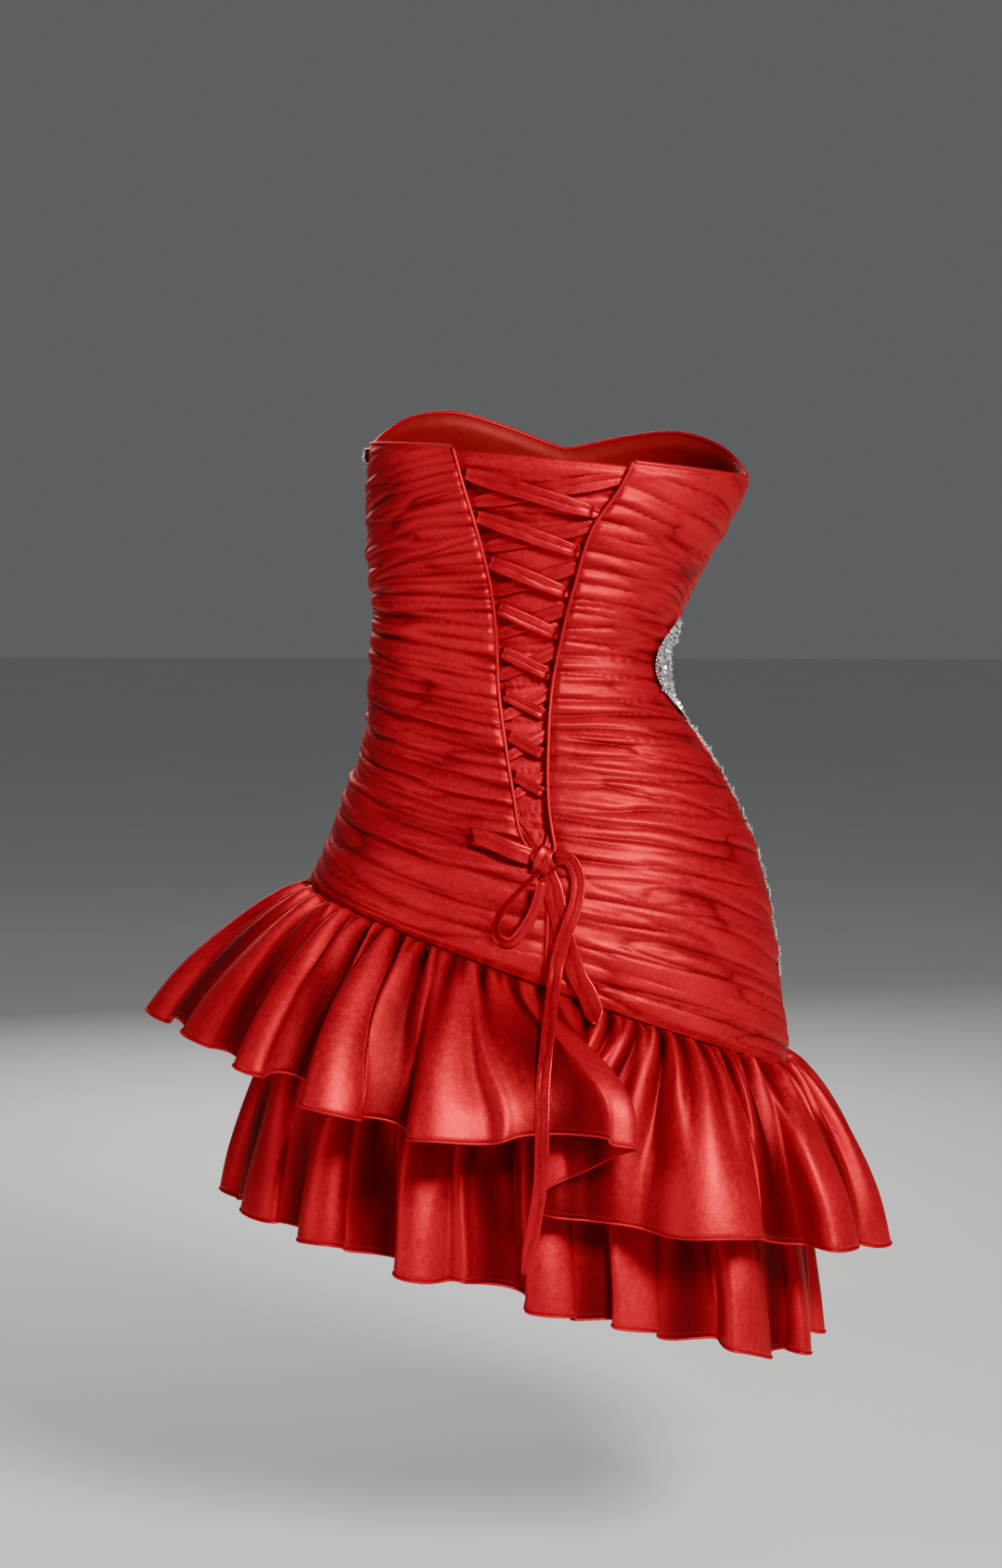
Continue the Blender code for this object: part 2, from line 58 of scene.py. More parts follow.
# Heights and widths are in millimetres and angles in degrees, 0 at the centre front, 90 at the wearer's left.
# Outline rows: height, centre, half width, front depth, back depth
bodyOutline = np.array(sorted([
    (110, -16, 136, 104, 90), (60, -15, 138, 106, 92), (24, -14, 138, 108, 92), (-28, 0, 125, 100, 86),
    (-62, 7, 114, 92, 80), (-100, 15, 108, 86, 74), (-131, 14, 110, 87, 77), (-166, 4, 124, 92, 87),
    (-200, 0, 140, 96, 99), (-235, -1, 155, 98, 111), (-270, 0, 167, 98, 119), (-304, 1, 174, 98, 121),
    (-340, 0, 178, 97, 119), (-375, -1, 181, 96, 115), (-420, -2, 183, 95, 110), (-520, -2, 184, 95, 107),
]), float)
body = {
    "roundness": 0.9, "cupDepth": 24, "cupAngle": 37, "cupSpread": 21, "cupHeight": 12, "cupDrop": 38,
    "cupAside": 0.35,
}
neck = {"backHeight": 44, "tilt": 0.09}
# Neckline rows: angle from the centre front, rise above the straight line
sweetheart = np.array([(0, 14), (18, 27), (36, 33), (56, 25), (75, 9), (90, 0), (180, 0)], float)
seams = {
    "upperHeight": -335, "upperTilt": 0.366, "lowerHeight": -418, "lowerTilt": 0.29, "backRise": 0.06,
    "gap": 0.4, "bustRadius": 138.0, "hipRadius": 178.0,
}
# Lacing edge rows: height, x of the left panel's edge, x of the right panel's edge
placketEdges = np.array(sorted([
    (55, 58, -81), (19, 48, -63), (-11, 39, -43), (-48, 30, -31), (-82, 26, -22), (-124, 24, -14),
    (-171, 17, -12), (-203, 11, -13), (-223, 7, -16), (-236, 0, -18), (-246, -13, -15), (-400, -9, -10),
]), float)


def curveThrough(rows, column, at):
    keys, values = rows[:, 0], rows[:, column]
    at = np.clip(at, keys[0], keys[-1])
    i = np.clip(np.searchsorted(keys, at, side="left") - 1, 0, len(keys) - 2)
    index = np.arange(len(keys))
    low, high = np.maximum(index - 1, 0), np.minimum(index + 1, len(keys) - 1)
    slopes = (values[high] - values[low]) / (keys[high] - keys[low])
    span = keys[i + 1] - keys[i]
    t = (at - keys[i]) / span
    ends = values[i] * (2 * t**3 - 3 * t**2 + 1) + values[i + 1] * (3 * t**2 - 2 * t**3)
    return ends + slopes[i] * span * (t**3 - 2 * t**2 + t) + slopes[i + 1] * span * (t**3 - t**2)


def bell(offset, width):
    return np.exp(-((offset / width) ** 2))


def ease(t):
    t = np.clip(t, 0.0, 1.0)
    return t * t * (3 - 2 * t)


def turned(angle):
    return (angle + 180) % 360 - 180


def unit(vectors):
    return vectors / (np.linalg.norm(vectors, axis=-1)[..., None] + 1e-15)


def steps(points, axis=0):
    return np.linalg.norm(np.diff(points, axis=axis), axis=-1)


def gridShares(columns, rows):
    # Places over a grid as shares of its width and of its length, from 0 to 1.
    return np.meshgrid(np.linspace(0, 1, columns + 1), np.linspace(0, 1, rows + 1))


def inFromEnds(share, sharp):
    return ease(np.minimum(share, 1 - share) * sharp)


def rounded(value):
    return np.copysign(np.abs(value) ** body["roundness"], value)


def bodyRing(angle, height):
    centre, halfWidth, front, back = (curveThrough(bodyOutline, k, height) for k in (1, 2, 3, 4))
    side, ahead = np.sin(np.radians(angle)), np.cos(np.radians(angle))
    depth = np.where(ahead > 0, front, back)
    cup = body["cupDepth"] * bell(np.abs(turned(angle)) - body["cupAngle"], body["cupSpread"])
    cup = cup * bell(height - body["cupHeight"], body["cupDrop"])
    x = centre + halfWidth * rounded(side) + body["cupAside"] * cup * side
    return x, -depth * rounded(ahead) - cup * ahead


def outward(angle, height):
    before, after = bodyRing(angle - 1.0, height), bodyRing(angle + 1.0, height)
    alongX, alongY = after[0] - before[0], after[1] - before[1]
    length = np.hypot(alongX, alongY)
    return alongY / length, -alongX / length


def onBody(angle, height, out=0.0, along=0.0):
    x, y = bodyRing(angle, height)
    nx, ny = outward(angle, height)
    return np.stack([x + out * nx - along * ny, y + out * ny + along * nx, height + 0 * x], -1) * mm


def backAngle(x, height):
    share = (x - curveThrough(bodyOutline, 1, height)) / curveThrough(bodyOutline, 2, height)
    share = np.copysign(np.minimum(np.abs(share), 1.0) ** (1 / body["roundness"]), share)
    return 180 - np.degrees(np.arcsin(share))


def neckline(angle):
    x = bodyRing(angle, neck["backHeight"] + 0 * angle)[0]
    return neck["backHeight"] + neck["tilt"] * x + curveThrough(sweetheart, 1, np.abs(turned(angle)))


def tiltedSeam(angle, middle, tilt):
    height = middle + 0 * angle
    for _ in range(3):
        x, y = bodyRing(angle, height)
        height = middle + tilt * x + seams["backRise"] * np.maximum(y, 0)
    return height


def upperSeam(angle):
    return tiltedSeam(angle, seams["upperHeight"], seams["upperTilt"])


def lowerSeam(angle):
    return tiltedSeam(angle, seams["lowerHeight"], seams["lowerTilt"])


def panelHeight(angle, down):
    top, bottom = neckline(angle), upperSeam(angle) + seams["gap"]
    return top + (bottom - top) * down


def halfGap(radius):
    return np.degrees(0.5 * seams["gap"] / radius)


def halfHip(start, across):
    # Angles over the front or back half of the hips, from one side seam to the other.
    gap = halfGap(seams["hipRadius"])
    return start + gap + (180 - 2 * gap) * across


def placketAngle(down, side):
    away = seams["gap"] / 2 if side == "left" else -seams["gap"] / 2
    angle = 180.0 + 0 * down
    for _ in range(4):
        top, bottom = neckline(angle), upperSeam(angle)
        height = top + (bottom - top) * down
        left, right = curveThrough(placketEdges, 1, height), curveThrough(placketEdges, 2, height)
        middle = 0.5 * (left + right)
        x = np.maximum(left, middle + away) if side == "left" else np.minimum(right, middle + away)
        angle = backAngle(x, height)
    return angle


def patches(u, v, seed):
    # Smooth uneven numbers from -1 to 1 over a lattice of unit squares, the same each run.
    draws = np.random.default_rng(seed).uniform(-1, 1, (64, 256))
    iu, iv = np.floor(u).astype(int), np.floor(v).astype(int)
    fu, fv = ease(u - iu), ease(v - iv)

    def at(a, b):
        return draws[(iu + a) % 64, (iv + b) % 256]

    low = at(0, 0) * (1 - fu) + at(1, 0) * fu
    high = at(0, 1) * (1 - fu) + at(1, 1) * fu
    return low * (1 - fv) + high * fv


# Meshes


def addObject(name, data):
    made = bpy.data.objects.new(name, data)
    bpy.context.scene.collection.objects.link(made)
    return made


def makeObject(name, verts, faces, finish, smooth=True):
    mesh = bpy.data.meshes.new(name)
    mesh.from_pydata(verts, [], faces)
    mesh.update()
    if smooth:
        mesh.shade_smooth()
    mesh.materials.append(finish)
    return addObject(name, mesh)


def carved(name, shape, finish):
    # A bmesh as an object.
    mesh = bpy.data.meshes.new(name)
    shape.to_mesh(mesh)
    shape.free()
    mesh.materials.append(finish)
    return addObject(name, mesh)


def gridFaces(rows, columns):
    r, c = np.meshgrid(np.arange(rows), np.arange(columns), indexing="ij")
    corner = (r * (columns + 1) + c).ravel()
    return np.stack([corner + columns + 1, corner + columns + 2, corner + 1, corner], -1).tolist()


def makeGrid(name, points, finish):
    faces = gridFaces(points.shape[0] - 1, points.shape[1] - 1)
    return makeObject(name, points.reshape(-1, 3).tolist(), faces, finish)


def clothSheet(name, points, finish, wall, fold=None):
    # A grid of points, rows from top to bottom, as a thin closed wall. Its UV map is in metres of cloth.
    rows, columns = points.shape[0] - 1, points.shape[1] - 1
    made = makeGrid(name, points, finish)
    wide = steps(points[:: max(1, rows // 8)], 1).sum(1).mean()
    long = steps(points[:, :: max(1, columns // 8)]).sum(0).mean()
    u, v = np.meshgrid(np.linspace(0, wide, columns + 1), np.linspace(long, 0, rows + 1))
    corners = np.array(gridFaces(rows, columns)).ravel()
    uvMap = made.data.uv_layers.new(name="cloth")
    uvMap.data.foreach_set("uv", np.stack([u.ravel()[corners], v.ravel()[corners]], -1).ravel())
    # The fold attribute holds painted shade for creases and valleys, zero where none is given
    depth = made.data.attributes.new("fold", "FLOAT", "POINT")
    depth.data.foreach_set("value", (np.zeros(u.size) if fold is None else fold.ravel()).astype(np.float32))
    thick = made.modifiers.new("wall", "SOLIDIFY")
    thick.thickness, thick.offset = wall * mm, -1
    return made


def tube(name, path, radius, finish, sides=8):
    # A closed round cord along a path in metres, a little thinner at its ends, for piping and rolled hems.
    path = np.asarray(path, float)
    ahead = unit(np.gradient(path, axis=0))
    side = np.cross(ahead, [0.0, 0.0, 1.0])
    weak = np.linalg.norm(side, axis=1) < 0.2
    side[weak] = np.cross(ahead[weak], [0.0, 1.0, 0.0])
    side = unit(side)
    for i in range(1, len(side)):
        if side[i] @ side[i - 1] < 0:
            side[i] *= -1
    up = np.cross(side, ahead)
    turn = np.linspace(0, 2 * math.pi, sides, endpoint=False)
    fromEnd = np.minimum(np.arange(len(path)), np.arange(len(path))[::-1])
    thick = radius * mm * np.minimum(1, fromEnd / 2 + 0.4)
    ring = side[:, None] * np.cos(turn)[None, :, None] + up[:, None] * np.sin(turn)[None, :, None]
    points = path[:, None] + ring * thick[:, None, None]
    verts = points.reshape(-1, 3).tolist() + [path[0].tolist(), path[-1].tolist()]
    around = [(k, (k + 1) % sides) for k in range(sides)]
    last = (len(path) - 1) * sides
    faces = [(i + a, i + b, i + b + sides, i + a + sides) for i in range(0, last, sides) for a, b in around]
    for a, b in around:
        faces += [(len(verts) - 2, b, a), (len(verts) - 1, last + a, last + b)]
    made = makeObject(name, verts, faces, finish)
    shape = bmesh.new()
    shape.from_mesh(made.data)
    bmesh.ops.recalc_face_normals(shape, faces=shape.faces)
    shape.to_mesh(made.data)
    shape.free()
    return made


def smoothPath(values, perSpan):
    # Rows of any numbers, filled in on a smooth curve through them.
    values = np.asarray(values, float)
    rows = np.column_stack([np.arange(len(values)), values])
    at = np.linspace(0, len(values) - 1, (len(values) - 1) * perSpan + 1)
    return np.column_stack([curveThrough(rows, k + 1, at) for k in range(values.shape[1])])


def place(made, nodes=()):
    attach(made, "root")
    if nodes:
        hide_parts(*nodes)
    return made


def sewnCloth(node, points, finish, wall, fold=None):
    return place(clothSheet(node + "_cloth", points, finish, wall, fold), [node])


def piping(name, path, radius, sides=8):
    place(tube(name, path, radius, pipingSatin, sides))


# Finishes


class Wire:
    def __init__(self, finish, socket):
        self.finish, self.socket = finish, socket

    def maths(self, operation, a, b):
        return self.finish.node("ShaderNodeMath", {"operation": operation}, {0: a, 1: b})

    def __add__(self, other):
        return self.maths("ADD", self, other)

    def __sub__(self, other):
        return self.maths("SUBTRACT", self, other)

    def __mul__(self, other):
        return self.maths("MULTIPLY", self, other)

    def __rsub__(self, other):
        return self.maths("SUBTRACT", other, self)

    __radd__ = __add__
    __rmul__ = __mul__


class NodeWork:
    def node(self, kind, settings, sockets, output=0):
        made = self.tree.nodes.new(kind)
        for name, value in settings.items():
            setattr(made, name, value)
        for name, value in sockets.items():
            self.join(value, made.inputs[name])
        return Wire(self, made.outputs[output])

    def join(self, value, socket):
        if isinstance(value, Wire):
            self.tree.links.new(value.socket, socket)
        else:
            socket.default_value = value


class Finish(NodeWork):
    def __init__(self, name, settings):
        self.material = bpy.data.materials.new(name)
        self.material.use_nodes = True
        self.tree = self.material.node_tree
        self.shader = self.tree.nodes["Principled BSDF"]
        for socket, value in settings.items():
            self.shader.inputs[socket].default_value = value

    def shade(self, socket, value):
        self.join(value, self.shader.inputs[socket])

    def mixColour(self, factor, first, second):
        return self.node("ShaderNodeMix", {"data_type": "RGBA"}, {"Factor": factor, 6: first, 7: second}, 2)

    def uv(self):
        return self.node("ShaderNodeUVMap", {"uv_map": "cloth"}, {})

    def objectPlace(self):
        return self.node("ShaderNodeTexCoord", {}, {}, 3)

    def scaled(self, vector, scale):
        return self.node("ShaderNodeMapping", {}, {"Vector": vector, "Scale": scale})

    def noise(self, vector, scale, detail=2.0):
        return self.node("ShaderNodeTexNoise", {}, {"Vector": vector, "Scale": scale, "Detail": detail})

    def attribute(self, name):
        return self.node("ShaderNodeAttribute", {"attribute_name": name}, {}, 2)

    def bands(self, vector, direction, scale):
        settings, sockets = {"bands_direction": direction}, {"Vector": vector, "Scale": scale}
        return self.node("ShaderNodeTexWave", settings, sockets)

    def bump(self, height, strength, distance, normal=None):
        sockets = {"Height": height, "Strength": strength, "Distance": distance}
        if normal is not None:
            sockets["Normal"] = normal
        return self.node("ShaderNodeBump", {}, sockets)


class PatternTree(NodeWork):
    # A Geometry Nodes tree with named inputs, run once on a carrier mesh and turned into a plain mesh.
    def __init__(self, name, inputs):
        self.tree = bpy.data.node_groups.new(name, "GeometryNodeTree")
        sockets = self.tree.interface
        for label, kind in {"Geometry": "Geometry", **inputs, "Finish": "Material"}.items():
            sockets.new_socket(label, in_out="INPUT", socket_type="NodeSocket" + kind)
        sockets.new_socket("Geometry", in_out="OUTPUT", socket_type="NodeSocketGeometry")
        self.entry = self.tree.nodes.new("NodeGroupInput")
        self.exit = self.tree.nodes.new("NodeGroupOutput")

    def given(self, label):
        return Wire(self, self.entry.outputs[label])

    def finishWith(self, instances, seed):
        # Each instance draws a number for its colour, then all become one mesh in its finish.
        draws = self.node("FunctionNodeRandomValue", {"data_type": "FLOAT"}, {"Seed": seed}, 1)
        named = self.node("GeometryNodeStoreNamedAttribute", {"data_type": "FLOAT", "domain": "INSTANCE"}, {
            "Geometry": instances, "Name": "draw", "Value": draws,
        })
        real = self.node("GeometryNodeRealizeInstances", {}, {"Geometry": named})
        shown = self.node("GeometryNodeSetMaterial", {}, {"Geometry": real, "Material": self.given("Finish")})
        self.join(shown, self.exit.inputs["Geometry"])

    def make(self, name, carrier, settings, smooth):
        modifier = carrier.modifiers.new("pattern", "NODES")
        modifier.node_group = self.tree
        for item in self.tree.interface.items_tree:
            if item.item_type == "SOCKET" and item.in_out == "INPUT" and item.name in settings:
                modifier[item.identifier] = settings[item.name]
        bpy.context.view_layer.update()
        mesh = bpy.data.meshes.new_from_object(carrier.evaluated_get(bpy.context.evaluated_depsgraph_get()))
        bpy.data.objects.remove(carrier)
        mesh.name = name
        if smooth:
            mesh.shade_smooth()
        else:
            mesh.shade_flat()
        return addObject(name, mesh)


satinLook = {
    # Painted shade: the near-black colour laid into creases and valleys, and its share
    "deep": (0.25, 0.0020, 0.0085, 1), "lit": (0.70, 0.0095, 0.0260, 1), "creaseShade": (0.022, 0.0001, 0.0008, 1),
    "roughness": 0.43, "creaseShadeShare": 0.6,
    # How many to a metre, and what each does to the colour
    "clouds": 26.0, "grain": 520.0, "specks": 1500.0, "shares": (0.5, 0.5, 0.7), "darker": 0.35,
    # Width of a thread, and heights of the weave and of soft ripples, in metres
    "weave": 0.00042, "weaveHeight": 0.00012, "ripples": 95.0, "rippleHeight": 0.0011,
}


def satinFinish(name, look, shader):
    look = {**satinLook, **look}
    finish = Finish(name, shader)
    cloth, spot = finish.uv(), finish.objectPlace()
    cloud = finish.noise(spot, look["clouds"], 3.0)
    grain = finish.noise(finish.scaled(cloth, (1.0, 0.45, 1.0)), look["grain"], 3.0)
    speck = finish.noise(spot, look["specks"], 1.0)
    cloudShare, grainShare, speckShare = look["shares"]
    tone = cloud * cloudShare + grain * grainShare + speck * speckShare - look["darker"]
    colour = finish.mixColour(tone, look["deep"], look["lit"])
    # Painted shade: the fold attribute darkens creases, slits and ruffle valleys toward a near-black red
    creased = finish.attribute("fold") * look["creaseShadeShare"]
    finish.shade("Base Color", finish.mixColour(creased, colour, look["creaseShade"]))
    finish.shade("Roughness", grain * 0.22 + (cloud * 0.10 + (look["roughness"] - 0.15)))
    thread = 2 * math.pi / (20 * look["weave"])
    warp, weft = finish.bands(cloth, "X", thread), finish.bands(cloth, "Y", thread * 0.6)
    soft = finish.bump(finish.noise(spot, look["ripples"], 3.0), 0.35, look["rippleHeight"])
    weave = warp * 0.4 + weft * 0.3 + grain + speck * 0.6
    finish.shade("Normal", finish.bump(weave, 0.35, look["weaveHeight"], soft))
    return finish.material


satinShader = {
    "Metallic": 0.60, "Specular IOR Level": 0.35, "Specular Tint": (1.0, 0.16, 0.13, 1),
    "Sheen Weight": 0.10, "Sheen Roughness": 0.4, "Sheen Tint": (1.0, 0.16, 0.14, 1),
}
bodyLook = {
    "deep": (0.25, 0.0022, 0.0090, 1), "lit": (0.69, 0.0098, 0.0265, 1),
    "roughness": 0.45, "creaseShadeShare": 0.72,
}
ruffleLook = {"lit": (0.74, 0.0100, 0.0280, 1), "roughness": 0.44, "creaseShadeShare": 0.92}
liningLook = {"deep": (0.16, 0.002, 0.004, 1), "lit": (0.30, 0.005, 0.008, 1), "roughness": 0.5}
liningShader = {"Specular IOR Level": 0.4, "Specular Tint": (1.0, 0.35, 0.3, 1), "Metallic": 0.15}
threadLook = {"roughness": 0.55, "weave": 0.0003, "creaseShadeShare": 0.0}
threadShader = {"Metallic": 0.1, "Specular Tint": (1.0, 0.3, 0.26, 1)}
bodySatin = satinFinish("body_satin", bodyLook, {**satinShader, "Metallic": 0.50})
ruffleSatin = satinFinish("ruffle_satin", ruffleLook, {**satinShader, "Metallic": 0.54})
ribbonSatin = satinFinish("ribbon_satin", {"roughness": 0.38, "weave": 0.0006}, satinShader)
pipingSatin = satinFinish("piping_satin", {"roughness": 0.50, "creaseShadeShare": 0.3}, satinShader)
liningSatin = satinFinish("lining_satin", liningLook, liningShader)


def crystalFinish(name, dull, bright, metallic, roughness):
    finish = Finish(name, {"Specular IOR Level": 0.8, "IOR": 1.65})
    draw = finish.attribute("draw")
    cloud = finish.noise(finish.objectPlace(), 900.0, 1.0)
    finish.shade("Base Color", finish.mixColour(draw, dull, bright))
    finish.shade("Metallic", draw * 0.3 + (metallic - 0.15))
    finish.shade("Roughness", cloud * 0.12 + (roughness - 0.04))
    finish.shade("Normal", finish.bump(cloud, 0.1, 0.0001))
    return finish.material


crystalGlass = crystalFinish("crystal_glass", (0.34, 0.35, 0.37, 1), (0.92, 0.92, 0.91, 1), 0.75, 0.1)
beadSilver = crystalFinish("bead_silver", (0.26, 0.25, 0.23, 1), (0.78, 0.77, 0.74, 1), 0.9, 0.2)
threadRed = satinFinish("thread_red", threadLook, threadShader)
print("finishes made")

# Camera first, at the photograph's angle: from behind, a little above
shot = {"azimuth": 184, "elevation": 4, "distance": 2.0, "aim": (0.0276, 0.0, -0.197), "halfHeight": 0.583}


def turnTo(made, direction):
    made.rotation_mode = "QUATERNION"
    made.rotation_quaternion = direction.to_track_quat("-Z", "Y")


def buildCamera():
    around, above = math.radians(shot["azimuth"]), math.radians(shot["elevation"])
    level = math.cos(above)
    towards = Vector((math.sin(around) * level, -math.cos(around) * level, math.sin(above)))
    lens = bpy.data.cameras.new("photo_camera")
    lens.sensor_width = 36.0
    lens.lens = 18.0 * shot["distance"] / shot["halfHeight"]
    camera = addObject("photo_camera", lens)
    camera.location = Vector(shot["aim"]) + towards * shot["distance"]
    turnTo(camera, -towards)
    bpy.context.scene.camera = camera


buildCamera()

# Panels: ruched satin. Crease rows: where it starts and ends as shares of the panel's width from its first
# edge, height at its start, slope, rise of its middle, depth, width. The first edge is the lacing, or in the
# front panel the wearer's right.
panelCloth = {
    "wall": 0.9, "base": 2.5, "swell": 1.25, "puff": 1.8, "fine": 0.6, "sunken": 0.9, "pinch": 1.1,
    "slit": 1.3, "smallSlit": 0.8, "lowest": -0.4, "highest": 4.4,
    # Length and height of the puffs between slits, and how sharp the slits are
    "slitSize": (92, 7.4, 0.10), "smallSlitSize": (56, 4.2, 0.14),
}
creasing = {"wander": 2.2, "wanderLong": 38, "unevenLong": 30, "lip": 0.42, "lipAt": 1.7, "lipWide": 1.3}
leftCreases = [
    (0, 0.62, 36, -0.16, 1, 2, 1.8), (0.3, 1, 24, -0.1, 2, 1.6, 2.2), (0, 1, 25, -0.2, 2, 2.6, 2),
    (0, 0.45, 17, -0.26, 0, 1.4, 1.5), (0, 0.92, 11, -0.17, 3, 2.4, 2.2), (0.42, 1, -2, -0.08, 1, 1.8, 1.8),
    (0, 0.7, 2, -0.12, 2, 1.8, 1.6), (0, 1, -7, -0.18, 4, 2.8, 2.2), (0.35, 1, -22, -0.12, 0, 1.6, 2),
    (0, 0.55, -17, -0.24, -1, 1.7, 1.5), (0, 0.96, -26, -0.2, 3, 2.4, 2), (0, 0.4, -33, -0.1, 1, 1.4, 1.5),
    (0, 1, -41, -0.1, 3, 2.7, 2.1), (0.5, 1, -52, -0.05, 1, 1.7, 1.8), (0, 0.78, -50, -0.03, 3, 1.9, 1.6),
    (0, 1, -59, 0.02, 3, 2.6, 2.2), (0, 0.5, -69, 0.03, 2, 1.8, 1.6), (0.28, 1, -73, 0.06, 1, 2.2, 2),
    (0, 0.88, -80, 0.09, 2, 2.2, 1.9), (0, 0.48, -91, 0.16, 1, 1.7, 1.6), (0.38, 1, -90, 0.1, 0, 2, 2.2),
    (0, 1, -101, 0.14, 2, 2.6, 2), (0, 0.56, -111, 0.19, 1, 1.6, 1.5), (0, 1, -119, 0.18, 1, 2.3, 2.1),
    (0.44, 1, -117, 0.12, 1, 1.7, 1.9), (0, 0.66, -131, 0.2, 1, 2.2, 1.7), (0, 1, -141, 0.17, 1, 2.5, 2.2),
    (0, 0.44, -150, 0.22, 0, 1.6, 1.5), (0.26, 1, -150, 0.16, 1, 2, 2), (0, 0.9, -160, 0.2, 2, 2.4, 2),
    (0, 0.52, -171, 0.24, 1, 1.9, 1.7), (0.4, 1, -165, 0.15, 0, 1.8, 2), (0, 1, -181, 0.21, 1, 2.5, 2.2),
    (0, 0.6, -192, 0.2, 1, 1.7, 1.6), (0.2, 1, -195, 0.17, 1, 2, 2), (0, 0.84, -205, 0.2, 2, 2.2, 1.9),
    (0.3, 1, -212, 0.14, 1, 1.7, 2.2), (0, 0.72, -219, 0.21, 1, 2.2, 2), (0, 1, -231, 0.2, 2, 2.1, 2.3),
    (0, 0.5, -243, 0.24, 1, 1.8, 1.8), (0.16, 0.95, -250, 0.22, 1, 2, 2.2), (0, 0.76, -261, 0.26, 1, 1.9, 2),
    (0.1, 1, -273, 0.26, 1, 1.7, 2.4), (0, 0.55, -285, 0.28, 0, 1.6, 2), (0, 0.8, -300, 0.3, 0, 1.3, 2.4),
]
rightCreases = [
    (0, 0.55, 34, -0.14, 0, 1.8, 1.8), (0.1, 1, 28, -0.3, 2, 2.2, 2.2), (0, 0.8, 20, -0.34, 2, 2.5, 2),
    (0.35, 1, 4, -0.28, 1, 1.8, 2), (0, 0.62, 7, -0.3, 1, 2.2, 1.8), (0, 1, -3, -0.3, 3, 2.7, 2.2),
    (0, 0.42, -14, -0.2, 0, 1.7, 1.6), (0.22, 0.92, -22, -0.32, 1, 2.3, 1.9),
    (0, 0.7, -25, -0.24, 1, 2.2, 1.8), (0, 1, -36, -0.24, 2, 2.7, 2.1), (0.3, 1, -50, -0.22, 1, 2, 1.9),
    (0, 0.5, -48, -0.16, -1, 1.9, 1.6), (0, 0.86, -58, -0.19, 2, 2.4, 1.9), (0, 0.4, -68, -0.12, 0, 1.6, 1.5),
    (0.3, 1, -72, -0.16, 1, 2.2, 2.1), (0, 1, -78, -0.14, 2, 2.6, 2), (0, 0.55, -88, -0.11, 0, 1.8, 1.6),
    (0.4, 1, -96, -0.12, 1, 1.9, 2), (0, 0.9, -99, -0.1, 2, 2.4, 2), (0, 0.48, -109, -0.06, 0, 1.8, 1.6),
    (0.24, 1, -114, -0.12, 2, 2.2, 2), (0, 0.74, -120, -0.05, 1, 2.2, 1.8),
    (0, 0.42, -130, -0.04, 0, 1.7, 1.5), (0.3, 0.88, -133, -0.2, 2, 2.7, 2.2),
    (0, 1, -140, -0.07, 1, 2.4, 2.1), (0, 0.5, -150, -0.06, 0, 1.9, 1.6),
    (0.34, 0.94, -154, -0.22, 2, 2.7, 2.2), (0, 0.8, -160, -0.07, 1, 2.1, 1.8),
    (0, 0.46, -170, -0.07, 0, 1.8, 1.6), (0.32, 0.9, -174, -0.26, 2, 2.8, 2.2), (0, 1, -181, -0.1, 1, 2.2, 2),
    (0, 0.44, -191, -0.08, 0, 1.8, 1.7), (0.36, 0.84, -198, -0.3, 1, 2.6, 2.1),
    (0, 0.78, -202, -0.14, 1, 2.2, 1.9), (0, 1, -214, -0.16, 2, 2.3, 2.2), (0.3, 0.86, -229, -0.24, 1, 2, 2),
    (0, 0.56, -228, -0.12, 0, 2, 1.8), (0, 0.94, -240, -0.17, 2, 2.3, 2.1), (0, 0.4, -253, -0.1, 0, 2.2, 1.7),
    (0.34, 0.9, -262, -0.32, 1, 2.4, 2.1), (0, 0.7, -264, -0.2, 1, 1.9, 2),
    (0.3, 0.88, -279, -0.32, 2, 2.6, 2.2), (0, 0.6, -279, -0.22, 1, 1.9, 2),
    (0.28, 0.98, -297, -0.3, 1, 2, 2.3), (0, 0.86, -297, -0.26, 1, 1.7, 2.2),
    (0, 0.66, -318, -0.3, 1, 1.6, 2.3), (0.2, 1, -338, -0.3, 0, 1.4, 2.4),
]
